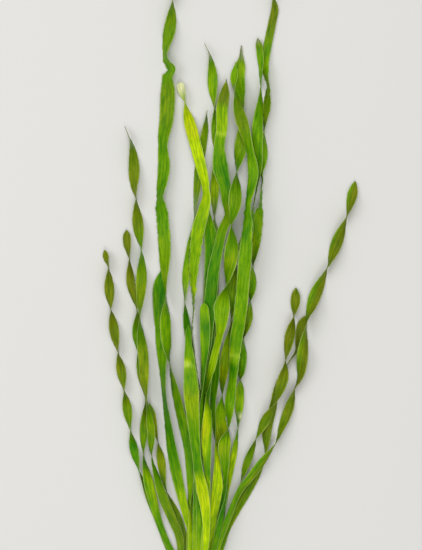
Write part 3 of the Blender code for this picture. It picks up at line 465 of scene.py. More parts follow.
class Pile:
    """Heights of what already lies on the surface, cell by cell."""

    def __init__(self, low, high):
        self.low = np.array(low)
        size = np.ceil((np.array(high) - self.low) / CELL).astype(int) + 1
        self.top = np.full(size, -PILE_GAP)

    def cells(self, places):
        """Index of the cell under each place."""
        index = np.round((places - self.low) / CELL).astype(int)
        return tuple(np.moveaxis(index, -1, 0))

    def lay(self, blade):
        """Gives the blade the height at which it clears what is below, and adds it to the pile."""
        reach = np.linspace(-1, 1, SAMPLES_ACROSS) * blade["half"][:, None]
        flat = reach * np.cos(blade["angle"])[:, None]
        rise = reach * np.sin(blade["angle"])[:, None]
        cells = self.cells(blade["route"][:, None, :] + flat[..., None] * blade["sideways"][:, None, :])
        blade["height"] = eased((self.top[cells] + PILE_GAP + LEAF_THICKNESS / 2 - rise).max(axis=1))
        top = blade["height"][:, None] + rise + LEAF_THICKNESS / 2
        for across_cells in (-1, 0, 1):
            for along_cells in (-1, 0, 1):
                np.maximum.at(self.top, (cells[0] + across_cells, cells[1] + along_cells), top)


corners = np.vstack([blade["route"] for blade in blades.values()])
pile = Pile(corners.min(axis=0) - PILE_MARGIN, corners.max(axis=0) + PILE_MARGIN)
mouth_cell = pile.cells(np.zeros(2))[1]
columns = pile.low[0] + CELL * np.arange(len(pile.top))
inside = np.clip(1 - np.abs(columns / COLLAR_HALF_WIDTH) ** CROWN_SQUARENESS, 0, 1)
collar_floor = COLLAR_HALF_HEIGHT * (1 - inside ** (1 / CROWN_SQUARENESS))
pile.top[:, :mouth_cell] = (COLLAR_WALL + collar_floor + TOUCH_GAP - PILE_GAP)[:, None]
for blade in blades.values():
    pile.lay(blade)
print("highest leaf, mm:", round(1000 * max(blade["height"].max() for blade in blades.values()), 1))

# %% [markdown]
# ## What colours a leaf has
# Fresh vallisneria is a light yellow-green. The youngest part, at the crown, is the brightest. Faces that
# grew in the shade are deeper green, old and thin leaves turn olive, then brown, and a leaf that is short of
# iron turns yellow from its tip. The tints paint light and shade as well: the darker green also stands for
# shade on faces turned from the light and on leaves that lie in another's shadow, the grey of dead tips for
# shade where a blade turns edge-on, and lime, gold and straw for a few highlights and for light laid over
# some shadows. Each leaf gets a few stops down its length: a row, and how much of each tint shows there.
# The mesh carries those shares, and the material mixes the tints. Painting the mesh directly would be
# quicker, but then no tint could be changed in one place.

# %% Tints and where they show
FRESH = "#74AE00"
TINTS = {
    # the darker green is partly the leaves' own and partly painted shade, on faces turned from the light and on
    # leaves lying in shadow
    "deep": "#3C8C00",
    "olive": "#7A8A0C",
    # lime and straw also paint a few highlights on folds, and lime and gold paint light over a few shadows
    "lime": "#C4E600",
    "gold": "#D6C800",
    "straw": "#F4F4BE",
    "brown": "#74602A",
    # a grey that dead tips really have, also used as painted shade where a blade turns edge-on
    "withered": "#A89C98",
}


def at(row, **shares):
    """A stop at a photograph row. lean is no tint: it moves the others to the right, or left below zero,
    and mostly paints one half of a face lighter and the other darker, as painted light and shade.
    """
    return row, shares


# the stops give each leaf's own colours, and in places painted shade, painted highlights and painted light
STOPS = {
    "tall_right_leaf": (
        at(-36, olive=0.6, deep=0.2, brown=0.1), at(20, olive=0.7, deep=0.3, brown=0.2),
        at(45, deep=0.2, olive=0.2), at(66, lime=0.2), at(86, olive=0.5), at(112, olive=0.6),
        at(131, olive=0.3), at(155), at(185, deep=0.2), at(205, deep=0.3), at(228, gold=0.1),
        at(245, gold=0.15), at(262, olive=0.3), at(290, deep=0.1), at(320, olive=0.6), at(350, deep=0.5),
        at(380, olive=0.2), at(411, lime=0.2), at(417, straw=0.7, lean=1.6), at(421, lime=0.1),
        at(435, deep=0.5), at(456, lime=0.7, lean=0.4), at(475, lime=0.9), at(495, lime=0.8),
        at(508, deep=0.5)),
    "straight_middle_leaf": (
        at(43, withered=0.9), at(55, withered=0.6), at(62, olive=0.2), at(90, lime=0.3), at(108, olive=0.2),
        at(140, olive=0.3), at(165, olive=0.3, lime=0.4), at(195, olive=0.4, lime=0.4),
        at(218, withered=0.4), at(240, lime=0.2), at(265, deep=0.5), at(400, deep=0.5), at(436, deep=0.3),
        at(447, lime=0.8), at(458, lime=1), at(505, lime=1), at(525, lime=0.8), at(550, lime=0.6)),
    # at rows 415 to 450 the lime and gold paint light over the shadow that front_right_leaf casts
    "bent_right_leaf": (
        at(38, withered=0.6, brown=0.3), at(45, olive=0.5), at(54, deep=0.1), at(90), at(112, deep=0.1),
        at(140), at(170, deep=0.3), at(210, deep=0.5), at(250, deep=0.2), at(275, olive=0.4),
        at(310, olive=0.3), at(345, gold=0.1), at(375, gold=0.2, olive=0.3), at(395, deep=0.2),
        at(415, lime=0.2), at(432, lime=0.3, gold=0.3), at(450, lime=0.1, gold=0.1), at(475, deep=0.5),
        at(505, deep=0.9), at(535, deep=0.6), at(550, deep=0.2)),
    "short_right_leaf": (
        at(314, olive=0.9), at(340, olive=1), at(380, olive=0.8), at(430, brown=0.3, olive=0.5),
        at(450, olive=0.6), at(470, brown=0.1, olive=0.5), at(490, deep=0.4, olive=0.5), at(520, olive=0.4),
        at(550, olive=0.1)),
    "middle_right_leaf": (
        at(288, olive=0.9), at(330, olive=1), at(400, olive=0.8), at(440, olive=0.5), at(470, olive=0.4),
        at(500, lime=0.2), at(550, lime=0.3)),
    "far_right_leaf": (
        at(181, olive=0.9, lean=0.5), at(240, olive=1, lean=0.4), at(300, olive=0.7, lean=0.6),
        at(330, olive=0.7, lean=0.6), at(380, olive=0.9, lean=0.4), at(430, olive=0.7),
        at(462, olive=0.4, lean=0.8), at(490, deep=0.3, olive=0.3, lean=1), at(520, deep=0.3, lean=1),
        at(550, lime=0.2)),
    "far_left_leaf": (
        at(250, olive=1), at(300, olive=0.9), at(360, olive=0.9), at(410, olive=0.5), at(430, olive=0.3),
        at(445, deep=0.8), at(470, deep=0.5), at(495, olive=0.3), at(520, deep=0.5), at(550, deep=0.4)),
    "low_left_leaf": (
        at(290, olive=1), at(350, deep=0.4), at(380, olive=0.8), at(425, olive=0.4), at(460, deep=0.5),
        at(485, lime=0.4, lean=1), at(505, lime=0.2, lean=1), at(520, deep=0.5), at(550, deep=0.4)),
    "small_left_leaf": (
        at(403, brown=0.4), at(420, olive=0.8), at(432, olive=0.4, gold=0.2), at(445, olive=0.9),
        at(465, gold=0.3, olive=0.4), at(480, brown=0.4), at(500, olive=0.6), at(530, brown=0.4)),
    "upper_left_leaf": (
        at(126, withered=0.9, straw=0.4), at(138, withered=0.7), at(150, olive=0.7), at(190, olive=0.9),
        at(225, olive=0.8), at(250, deep=0.3), at(270, olive=0.3), at(292, olive=0.5, gold=0.1),
        at(312, olive=0.5), at(325, deep=0.6), at(350, olive=0.6), at(378, olive=0.6, gold=0.1),
        at(400, olive=0.8), at(415, lime=0.2), at(432, olive=0.5), at(470, deep=0.5),
        at(500, olive=0.4, deep=0.2), at(530, brown=0.15, olive=0.4), at(550, brown=0.2, olive=0.2)),
    "slim_middle_leaf": (
        at(110, withered=0.8), at(125, olive=0.4), at(160, olive=0.4), at(190, olive=0.6),
        at(208, withered=0.4), at(220, deep=0.3), at(250), at(280, lime=0.3), at(301, withered=0.3),
        at(312, deep=0.8), at(330, deep=0.9), at(500, deep=0.6), at(540, lime=0.5)),
    "dark_left_leaf": (
        at(270, deep=0.9), at(285, deep=0.75, lean=0.6), at(303, deep=0.6, lean=0.5), at(325, deep=0.1),
        at(350), at(380, deep=0.2), at(400, deep=0.8), at(440, deep=0.8), at(462, deep=0.5),
        at(480, lime=0.1), at(500, lime=0.5)),
    "tall_left_leaf": (
        at(-30, brown=0.5), at(-4, brown=0.3, olive=0.5), at(8, olive=0.5), at(30, olive=0.35),
        at(58, olive=0.2), at(72, deep=0.4), at(90, olive=0.5), at(120, olive=0.4),
        at(145, deep=0.3, lean=0.6), at(170, olive=0.1), at(190, deep=0.4), at(206, deep=0.5, lean=-0.6),
        at(225, deep=0.2), at(245, gold=0.1), at(275, gold=0.15), at(300), at(330, lime=0.1),
        at(360, deep=0.1), at(400, olive=0.2), at(430, deep=0.3), at(460, deep=0.5), at(490, lime=0.2),
        at(515, lime=0.7), at(550, lime=0.6)),
    "broad_middle_leaf": (
        at(211, olive=0.2), at(228, deep=0.3), at(250, deep=0.7), at(300, deep=0.8), at(380, deep=0.6),
        at(480, deep=0.5), at(520, lime=0.4), at(550, lime=0.5)),
    "yellow_leaf": (
        at(82, straw=1), at(92, straw=0.8, lime=0.3), at(100, lime=1), at(118, lime=1, gold=0.25),
        at(132, lime=1, gold=0.35), at(145, lime=1), at(186, lime=0.9), at(206, lime=0.5),
        at(225, lime=0.3), at(250, lime=0.2), at(290, lime=0.4), at(304, withered=0.2),
        at(340, withered=0.4, deep=0.3), at(380, deep=0.5), at(480, deep=0.4), at(520, lime=0.4),
        at(550, lime=0.5)),
    # at rows 130 to 138 the lime and straw are a painted highlight on the fold
    "hooked_middle_leaf": (
        at(79, withered=0.8), at(84, olive=0.9), at(102, olive=0.8), at(110, lime=0.3), at(130, lime=0.35),
        at(134, lime=0.7, straw=0.05), at(138, lime=0.1), at(158, deep=0.4), at(175, deep=0.6, lean=0.9),
        at(195, deep=0.4, lean=0.9), at(210, olive=0.5), at(230, olive=0.2), at(250, deep=0.6),
        at(300, deep=0.8), at(360, deep=0.6), at(470, deep=0.5), at(495, deep=0.7), at(512, deep=0.2),
        at(530, lime=0.3), at(550, lime=0.5)),
    "small_front_leaf": (
        at(303, lime=0.2), at(325, deep=0.2, lean=1), at(350, deep=0.4, lean=1), at(380, deep=0.5),
        at(420, deep=0.3), at(470, deep=0.6), at(500, deep=0.5), at(520, deep=0.1), at(536, lime=0.15),
        at(550, lime=0.3)),
    "long_twisted_leaf": (
        at(45, withered=0.7, brown=0.4), at(55, withered=0.4, olive=0.5), at(61, olive=0.4),
        at(70, lime=0.2), at(90), at(111, olive=0.3), at(145, olive=0.4), at(172, deep=0.2),
        at(200, olive=0.3), at(226, deep=0.2), at(245, olive=0.1), at(262, gold=0.1, olive=0.2),
        at(286, deep=0.3), at(300, lime=0.2, lean=0.5), at(325, lime=0.2), at(350, lime=0.5),
        at(375, lime=0.5), at(390, deep=0.2), at(400, deep=0.3), at(410, lime=0.5, lean=-1),
        at(430, lime=0.9, gold=0.3, lean=-0.8), at(446, lime=0.6, lean=-1), at(458, lime=0.1),
        at(472, deep=0.2), at(490, lime=0.5), at(520, lime=0.8), at(550, lime=0.6)),
    # at rows 356 to 368 the lime and straw, leaning left, are a painted highlight on the fold
    "broad_front_leaf": (
        at(325, deep=0.5), at(345, deep=0.2), at(356, lime=0.1), at(360, lime=0.5, lean=-1),
        at(364, lime=0.8, straw=0.12, lean=-1), at(368, lime=0.2), at(385), at(396, gold=0.25, lime=0.1),
        at(412, gold=0.15), at(432, deep=0.1), at(455, deep=0.5), at(468, deep=0.4),
        at(480, lime=0.5, gold=0.1), at(495, lime=0.9, gold=0.2), at(520, lime=0.9), at(550, lime=0.7)),
    # at rows 352 to 360 the lime and straw are a painted highlight on a fold, at 438 and 448 the lime and gold
    # paint light over a shadow, and the darker green at 480 to 530 is mostly painted shade
    "front_right_leaf": (
        at(62), at(70, lime=0.1), at(84, lime=0.2), at(90, withered=0.4), at(100, olive=0.4),
        at(125, olive=0.6), at(150, deep=0.1), at(172), at(195, deep=0.5, lean=-0.9),
        at(225, deep=0.4, lean=-0.9), at(250, deep=0.1), at(275, lime=0.1), at(300, lime=0.1), at(325),
        at(345, deep=0.2), at(352, lime=0.3), at(356, lime=0.6, straw=0.05), at(360, lime=0.2),
        at(368, deep=0.7), at(385, deep=0.1), at(405), at(424, deep=0.2), at(438, lime=0.15),
        at(448, lime=0.1, gold=0.2), at(462, olive=0.1), at(480, deep=0.6), at(505, deep=1),
        at(530, deep=0.7), at(550, lime=0.1)),
}
print(len(TINTS), "tints,", sum(len(stops) for stops in STOPS.values()), "stops")

# %% [markdown]
# ## The blades
# A vallisneria blade is about half a millimetre thick in the middle and thins to a soft margin. It is
# slightly channelled, its margins ruffle a little, and its width is never quite even. Each one is a closed
# skin of stations down the blade with points across it, closer together at the margins. A sheet with a
# Solidify modifier would be shorter to write, but its margins would be square, and it couldn't thin out to
# them. Every point carries where it is on the blade, in millimetres, and its share of each tint.

# %% Where leaves are ruffled and folded
# (row, times as much ruffle) where a leaf is more ruffled than the rest
RUFFLED = {
    "yellow_leaf": ((225, 1), (245, 4.5), (330, 4.5), (350, 3), (390, 3), (410, 1)),
    "front_right_leaf": ((190, 1), (205, 3.2), (240, 3.2), (255, 1)),
    "tall_left_leaf": ((50, 1), (60, 2.5), (76, 2.5), (90, 1), (185, 1), (200, 3.2), (232, 3.2), (250, 1),
                       (330, 1), (360, 2.2), (380, 1)),
    "tall_right_leaf": ((55, 1), (66, 2.4), (90, 2.4), (110, 1), (190, 1), (205, 3.0), (235, 3.0), (250, 1)),
    "bent_right_leaf": ((395, 1), (415, 2.6), (450, 2.6), (465, 1)),
    "hooked_middle_leaf": ((120, 1), (134, 2.5), (145, 1)),
}
# (row, rise in metres, half length in rows) of single cross folds that stand proud of a face
FOLDS = {
    "broad_front_leaf": ((361, 0.0007, 4.0),),
    "front_right_leaf": ((354, 0.0005, 3.0), (361, 0.0004, 3.0), (214, 0.0004, 3.0)),
    "tall_left_leaf": ((59, 0.0005, 2.5), (68, -0.0006, 3.0), (77, 0.0005, 2.5), (197, 0.0005, 3.0)),
    "hooked_middle_leaf": ((134, 0.0005, 2.5), (216, 0.0003, 3.0)),
    "yellow_leaf": ((190, 0.0004, 3.0),),
}
print(len(RUFFLED), "more ruffled leaves,", sum(len(folds) for folds in FOLDS.values()), "cross folds")

# %% Waves, shares of the tints, and a closed skin
# lengths of the sines that make up a wander, as shares of its own length
WANDER_STRETCHES = (0.61, 1.0, 1.73)
# how strongly a lean moves the tints, painting one half of a face lighter and the other darker as painted
# light and shade, and the most that it multiplies a share by
LEAN_STRENGTH, LEAN_MOST = 1.6, 1.6


def wander(along, length, dice):
    """A smooth value between -1 and 1 that turns about once in the given length."""
    total = np.zeros(len(along))
    for stretch in WANDER_STRETCHES:
        total += np.sin(2 * math.pi * (along / (length * stretch) + dice.random()))
    return total / len(WANDER_STRETCHES)


def tint_shares(rows, rightward, stops):
    """Share of each tint at each point, blended from one stop to the next and leaning to one side, which
    paints one half of a face in light and the other in shade.
    """
    stop_rows = [row for row, _ in stops]
    shares = {}
    for tint in (*TINTS, "lean"):
        shares[tint] = np.interp(rows, stop_rows, [mix.get(tint, 0.0) for _, mix in stops])[:, None]
    leaning = np.clip(1 + LEAN_STRENGTH * shares.pop("lean") * rightward, 0, LEAN_MOST)
    return {tint: np.clip(share * leaning, 0, 1) for tint, share in shares.items()}


def add_skin(name, rings, values):
    """A closed smooth mesh over a row of rings, which carries the given values at its points."""
    count, sides, _ = rings.shape
    faces = []
    for first in range(count - 1):
        for here in range(sides):
            beyond = (here + 1) % sides
            start, end = first * sides, (first + 1) * sides
            faces.append((start + here, end + here, end + beyond, start + beyond))
    faces.append(tuple(range(sides)))
    faces.append(tuple(reversed(range((count - 1) * sides, count * sides))))
    mesh = bpy.data.meshes.new(name)
    mesh.from_pydata(rings.reshape(-1, 3).tolist(), [], faces)
    for value_name, levels in values.items():
        mesh.attributes.new(value_name, "FLOAT", "POINT").data.foreach_set("value", levels.ravel())
    mesh.shade_smooth()
    piece = bpy.data.objects.new(name, mesh)
    bpy.context.collection.objects.link(piece)
    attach(piece, "root")
    return piece


trial = wander(np.linspace(0, 0.1, 500), 0.01, np.random.default_rng(0))
print("a trial wander runs from", round(trial.min(), 2), "to", round(trial.max(), 2))

# %% The fine skin of each leaf
STATIONS_APART = 2
POINTS_ACROSS = 11
BLADE_THICKNESS = 0.00045
# the lengthwise channel: how much higher the margins are than the middle, and the power of its section
CUP, CUP_POWER = 0.00030, 1.5
# the margins' up and down waves: height, length, and the power that keeps them off the middle
RUFFLE, RUFFLE_LENGTH, RUFFLE_POWER = 0.00018, 0.0064, 3
# the margins' in and out waves: share of the half width, length, and how far they are moved inwards
SCALLOP, SCALLOP_LENGTH, SCALLOP_INWARD = 0.035, 0.0036, 0.6
# the whole blade's small unevenness
CRINKLE, CRINKLE_LENGTH = 0.00007, 0.0030
# a blade with this half width or more is channelled, ruffled and crinkled in full
FULL_HALF_WIDTH = 0.003
# how far apart two leaves' patterns are, so that no two are alike
SEED_PITCH = 10.0
# what a leaf has that isn't in RUFFLED
UNRUFFLED = ((0, 1), (1, 1))


def make_blade(order, leaf, blade):
    """One leaf's fine mesh, from its samples and its height in the pile."""
    dice = np.random.default_rng(order)
    pick = slice(None, None, STATIONS_APART)
    along, rows, turn, half = (blade[value][pick] for value in ("along", "row", "angle", "half"))
    centre = np.column_stack([blade["route"][pick] + MOUTH, blade["height"][pick]])
    level = np.column_stack([blade["sideways"][pick], np.zeros(len(along))])
    up = np.array([0.0, 0.0, 1.0])
    side = level * np.cos(turn)[:, None] + up * np.sin(turn)[:, None]
    face = up * np.cos(turn)[:, None] - level * np.sin(turn)[:, None]
    step = np.arange(2 * POINTS_ACROSS - 2)
    across = -np.cos(math.pi * step / (POINTS_ACROSS - 1))
    skin = BLADE_THICKNESS / 2 * np.sin(math.pi * step / (POINTS_ACROSS - 1))
    ruffled = np.interp(rows, *zip(*RUFFLED.get(leaf["name"], UNRUFFLED)))
    fullness = np.clip(half / FULL_HALF_WIDTH, 0, 1)
    waves = [wander(along, RUFFLE_LENGTH, dice) * ruffled * RUFFLE * fullness for _ in range(2)]
    scallops = []
    for _ in range(2):
        scallops.append(1 + SCALLOP * ruffled * (wander(along, SCALLOP_LENGTH, dice) - SCALLOP_INWARD))
    crinkle = CRINKLE * wander(along, CRINKLE_LENGTH, dice) * fullness
    for row, rise, reach in FOLDS.get(leaf["name"], ()):
        crinkle += rise * np.exp(-((rows - row) / reach) ** 2) * np.sign(np.cos(turn))
    left = across < 0
    wave = np.where(left, waves[0][:, None], waves[1][:, None]) * np.abs(across) ** RUFFLE_POWER
    reach = half[:, None] * across * np.where(left, scallops[0][:, None], scallops[1][:, None])
    channel = CUP * fullness[:, None] * (np.abs(across) ** CUP_POWER - 0.5)
    lift = skin + channel + wave + crinkle[:, None]
    rings = centre[:, None] + reach[..., None] * side[:, None] + lift[..., None] * face[:, None]
    even = np.ones_like(reach)
    values = {
        "along": 1000 * along[:, None] * even,
        "side": 1000 * reach,
        "across": across * even,
        "seed": SEED_PITCH * order * even,
    }
    # the lean follows the half of a face that lies to the right as seen from above, so it paints light and
    # shade
    values.update(tint_shares(rows, across * np.cos(turn)[:, None], STOPS[leaf["name"]]))
    piece = add_skin(leaf["name"] + "_blade", rings, values)
    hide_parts(leaf["name"])
    return piece


blade_pieces = {}
for order, leaf in enumerate(LEAVES):
    blade_pieces[leaf["name"]] = make_blade(order, leaf, blades[leaf["name"]])
print("faces in the blades:", sum(len(piece.data.polygons) for piece in blade_pieces.values()))

# %% [markdown]
# ## The leaf's surface
# A blade has long parallel veins joined by short cross veins, like the rungs of a ladder. Between them the
# tissue is fresh green with lengthwise streaks, and along the margin it is so thin that it looks pale; that
# pale rim is made brighter still as painted rim light. The wet skin is smooth, and a little light comes
# through it. A ramp over one noise would be simpler, but streaks that don't follow the twist look painted on,
# so each pattern is laid out in the blade's own millimetres.

# %% What the leaf's surface is made of
# per colour slot: the material's name, its roughness, and how much of the brown mottle it shows
FINISHES = {
    "leaf_green": ("fresh_moist_vallisneria_leaf", 0.40, 0.08),
    "leaf_dark": ("shaded_moist_vallisneria_leaf", 0.38, 0.10),
    "leaf_olive": ("old_thin_vallisneria_leaf", 0.48, 0.40),
    "leaf_yellow": ("iron_starved_vallisneria_leaf", 0.40, 0.05),
}
# the pale margin: the thin tissue's own paler colour, brightened further as painted rim light
PALE_MARGIN_AND_RIM_LIGHT = "#CFDC84"
VEIN = "#3F6A00"
MOTTLE = "#565200"
# the IOR of plant cells; the gloss is low because the skin's fine ridges break it up
LEAF_SKIN = {"IOR": 1.42, "Specular IOR Level": 0.14}
# share of the light that comes through the blade
GLOW = 0.22
# a scale is per millimetre along and across: a streak is about 11 by 1 mm, a blotch 8 by 3 mm
# hue and brightness go from the darkest place to the lightest; 0.5 keeps the hue and 1 the brightness
PATTERNS = {
    "streaks": {"Scale": (0.09, 0.95, 1.0), "Hue": (0.520, 0.482), "Value": (0.70, 1.28)},
    "blotches": {"Scale": (0.12, 0.36, 1.0), "Hue": (0.516, 0.484), "Value": (0.80, 1.20)},
}
PATTERN_NOISE = {"Scale": 1.0, "Detail": 3.0, "Roughness": 0.55}
# a map range's sockets by number: 1 and 2 are its input's low and high end, 3 and 4 the output's
NOISE_RANGE = {1: 0.3, 2: 0.7}
MOTTLE_RANGE = {1: 0.54, 2: 0.74, 3: 0.0}
MARGIN_AND_RIM_LIGHT_RANGE = {1: 0.84, 2: 0.97, 3: 0.0, 4: 0.62}
# a rung every 3.4 mm and a long vein every 0.62 mm, with the rungs shifted from row to row
LADDER = {"Scale": 1.0, "Brick Width": 3.4, "Row Height": 0.62, "Mortar Size": 0.07, "Mortar Smooth": 0.6}
LADDER_SHIFT = 0.37
# the main veins, as shares of the half width, and half of each one's width
MAIN_VEINS, MAIN_VEIN_REACH = (0.0, 0.45), 0.030
VEIN_STRENGTH, VEIN_HEIGHT = 0.22, 0.5
# how much smoother or rougher than its roughness a leaf is from streak to streak
ROUGHNESS_SPREAD = (-0.05, 0.10)
LEAF_RELIEF = {"Strength": 0.5, "Distance": 0.00012}
print(len(FINISHES), "leaf finishes,", len(PATTERNS), "patterns")

# %% Leaf materials


def add_node(tree, kind, links=(), **settings):
    """Adds a node. links are (socket to fill, value or output); settings are the node's own properties."""
    node = tree.nodes.new("ShaderNode" + kind)
    for name, value in settings.items():
        setattr(node, name, value)
    for socket, value in dict(links).items():
        if isinstance(value, bpy.types.NodeSocket):
            tree.links.new(value, node.inputs[socket])
        else:
            node.inputs[socket].default_value = value
    return node


def leaf_material(name, roughness, mottle):
    """Green blade whose pattern follows the values that its mesh carries."""
    material, tree, shader, output = new_material(name, LEAF_SKIN)
    carried = {}
    for value in ("along", "side", "across", "seed", *TINTS):
        carried[value] = add_node(tree, "Attribute", attribute_name=value).outputs["Fac"]
    spot = {"X": carried["along"], "Y": carried["side"], "Z": carried["seed"]}
    place = add_node(tree, "CombineXYZ", spot).outputs[0]
    # a colour mix takes its share in socket 0, the colour under in 6 and the colour over it in 7
    colour = linear(FRESH)
    for tint, code in TINTS.items():
        layer = {0: carried[tint], 6: colour, 7: linear(code)}
        colour = add_node(tree, "Mix", layer, data_type="RGBA").outputs[2]
    noises = {}
    for pattern, levels in PATTERNS.items():
        laid = add_node(tree, "Mapping", {"Vector": place, "Scale": levels["Scale"]}).outputs[0]
        noises[pattern] = add_node(tree, "TexNoise", {"Vector": laid, **PATTERN_NOISE}).outputs["Fac"]
        shifts = {"Color": colour}
        for socket in ("Hue", "Value"):
            low, high = levels[socket]
            span = {"Value": noises[pattern], **NOISE_RANGE, 3: low, 4: high}
            shifts[socket] = add_node(tree, "MapRange", span).outputs[0]
        colour = add_node(tree, "HueSaturation", shifts).outputs[0]
    old = add_node(tree, "MapRange", {"Value": noises["blotches"], **MOTTLE_RANGE, 4: mottle}).outputs[0]
    veins = add_node(tree, "TexBrick", {"Vector": place, **LADDER}, offset=LADDER_SHIFT).outputs["Fac"]
    outward = add_node(tree, "Math", {0: carried["across"]}, operation="ABSOLUTE").outputs[0]
    for vein in MAIN_VEINS:
        band = {0: outward, 1: vein, 2: MAIN_VEIN_REACH}
        near = add_node(tree, "Math", band, operation="COMPARE").outputs[0]
        veins = add_node(tree, "Math", {0: veins, 1: near}, operation="MAXIMUM").outputs[0]
    faint = add_node(tree, "Math", {0: veins, 1: VEIN_STRENGTH}, operation="MULTIPLY").outputs[0]
    # pale margin, partly the thin edge's own colour and partly painted rim light
    rim = add_node(tree, "MapRange", {"Value": outward, **MARGIN_AND_RIM_LIGHT_RANGE}).outputs[0]
    for share, code in ((old, MOTTLE), (faint, VEIN), (rim, PALE_MARGIN_AND_RIM_LIGHT)):
        colour = add_node(tree, "Mix", {0: share, 6: colour, 7: linear(code)}, data_type="RGBA").outputs[2]
    tree.links.new(colour, shader.inputs["Base Color"])
    low, high = (roughness + shift for shift in ROUGHNESS_SPREAD)
    rough = add_node(tree, "MapRange", {"Value": noises["streaks"], **NOISE_RANGE, 3: low, 4: high})
    tree.links.new(rough.outputs[0], shader.inputs["Roughness"])
    raised = {0: veins, 1: VEIN_HEIGHT, 2: noises["streaks"]}
    height = add_node(tree, "Math", raised, operation="MULTIPLY_ADD").outputs[0]
    relief = add_node(tree, "Bump", {"Height": height, **LEAF_RELIEF})
    tree.links.new(relief.outputs[0], shader.inputs["Normal"])
    through = add_node(tree, "BsdfTranslucent", {"Color": colour})
    leaf = add_node(tree, "MixShader", {0: GLOW, 1: shader.outputs[0], 2: through.outputs[0]})
    tree.links.new(leaf.outputs[0], output.inputs["Surface"])
    return material


leaf_finishes = {slot: leaf_material(*values) for slot, values in FINISHES.items()}
for leaf in LEAVES:
    blade_pieces[leaf["name"]].data.materials.append(leaf_finishes[leaf["tint"]])
print(len(leaf_finishes), "leaf materials")

# %% [markdown]
# ## The crown
# The crown is the short stem from which everything grows. Its outside is the pale bases of the oldest leaves,
# wrapped round one another, so it shows lengthwise ribs and the steps where one base ends over the next. It
# is greenish white at the mouth and tan where the roots leave it. It could be a plain capsule with a bump,
# but its outline would stay smooth from the side, so the ribs are in the mesh.

# %% Rings of the crown
CROWN_LENGTH = 0.0200
CROWN_SIDES = 120
# the bases wrap round at a slant, each down to a step at its end, with fine ribs down the outside
SHEATHS, SHEATH_SLANT, SHEATH_STEP = 7, 1.1, 0.00045
RIBS, RIB_DEPTH = 34, 0.00012
# the rim of the mouth is wavy, and a twentieth of the way back the waves are gone
RIM_WAVES, RIM_WAVE, RIM_PHASE, RIM_FADE = 5, 0.0011, 1.3, 20


def crown_ring(half_width, low, high, back, depth):
    """One ring of the crown, back that share of its length: a rounded outline between the heights low and
    high, with sheath steps and ribs cut into it to that share of their depth."""
    turn = 2 * math.pi * (np.arange(CROWN_SIDES) + 0.5) / CROWN_SIDES
    cosine, sine = np.cos(turn), np.sin(turn)
    across = np.sign(cosine) * np.abs(cosine) ** (2 / CROWN_SQUARENESS)
    upward = np.sign(sine) * np.abs(sine) ** (2 / CROWN_SQUARENESS)
    wrap = (SHEATHS * (turn / (2 * math.pi)) + SHEATH_SLANT * back) % 1.0
    cut = depth * (SHEATH_STEP * wrap + RIB_DEPTH * (1 + np.cos(RIBS * turn)) / 2)
    half_height = (high - low) / 2
    fade = max(0.0, 1 - RIM_FADE * back)
    notch = RIM_WAVE * depth * fade * (0.5 + 0.5 * np.sin(RIM_WAVES * turn + RIM_PHASE))
    x = MOUTH[0] + (half_width - cut) * across
    y = MOUTH[1] - back * CROWN_LENGTH - notch
    z = (low + high) / 2 + (half_height - cut) * upward
    return np.column_stack([x, y, z])


print("a sheath's step and a rib, mm:", 1000 * SHEATH_STEP, "and", 1000 * RIB_DEPTH)

# %% Crown mesh
# shares of the way back, of the full width, and of the height that is left out above and below
CROWN_PROFILE = ((1.0, 0.40, 0.34), (0.985, 0.46, 0.32), (0.93, 0.60, 0.20), (0.85, 0.76, 0.10),
                 (0.74, 0.90, 0.03), (0.62, 0.975, 0.0), (0.45, 1.0, 0.0), (0.30, 1.0, 0.0),
                 (0.15, 0.99, 0.005), (0.05, 0.975, 0.015))
# the rim's top, and where the smooth wall of the collar begins inside it
LIP_BACK, LIP_DEPTH = 0.01, 0.6
COLLAR_BACK = 0.03
ceiling = COLLAR_WALL + 2 * COLLAR_HALF_HEIGHT
outer, crown_top = COLLAR_HALF_WIDTH + COLLAR_WALL, ceiling + COLLAR_WALL
lip = COLLAR_WALL / 2
rings = []
for back, width, left_out in CROWN_PROFILE:
    rings.append(crown_ring(width * outer, left_out * crown_top, crown_top * (1 - left_out), back, 1.0))
rings.append(crown_ring(outer - lip, lip, crown_top - lip, LIP_BACK, LIP_DEPTH))
for back in (COLLAR_BACK, COLLAR_DEPTH / CROWN_LENGTH):
    rings.append(crown_ring(COLLAR_HALF_WIDTH, COLLAR_WALL, ceiling, back, 0.0))
rings = np.array(rings)
crown_values = {"back": (MOUTH[1] - rings[:, :, 1]) / CROWN_LENGTH}
crown_values["turn"] = np.arange(CROWN_SIDES) / CROWN_SIDES * np.ones((len(rings), 1))
crown = add_skin("crown_sheaths", rings, crown_values)
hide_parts("crown")
print("crown faces:", len(crown.data.polygons))

# %% Crown material
# a leaf base is moist and fibrous: a soft gloss broken by threads that run down it
SHEATH_SKIN = {"Roughness": 0.5, "IOR": 1.42}
SHEATH_WHITE = "#DDE3B4"
SHEATH_GREEN = "#A9C46A"
SHEATH_TAN = "#B08E5A"
SHEATH_FIBRE = "#8A6A3C"
# over the crown's 20 mm of length and its 60 mm of girth, a thread is about 8 mm long and 1 mm wide
THREAD_SCALE = (2.5, 60.0, 1.0)
THREAD_NOISE = {"Scale": 1.0, "Detail": 4.0}
THREAD_RELIEF = {"Strength": 0.6, "Distance": 0.0003}
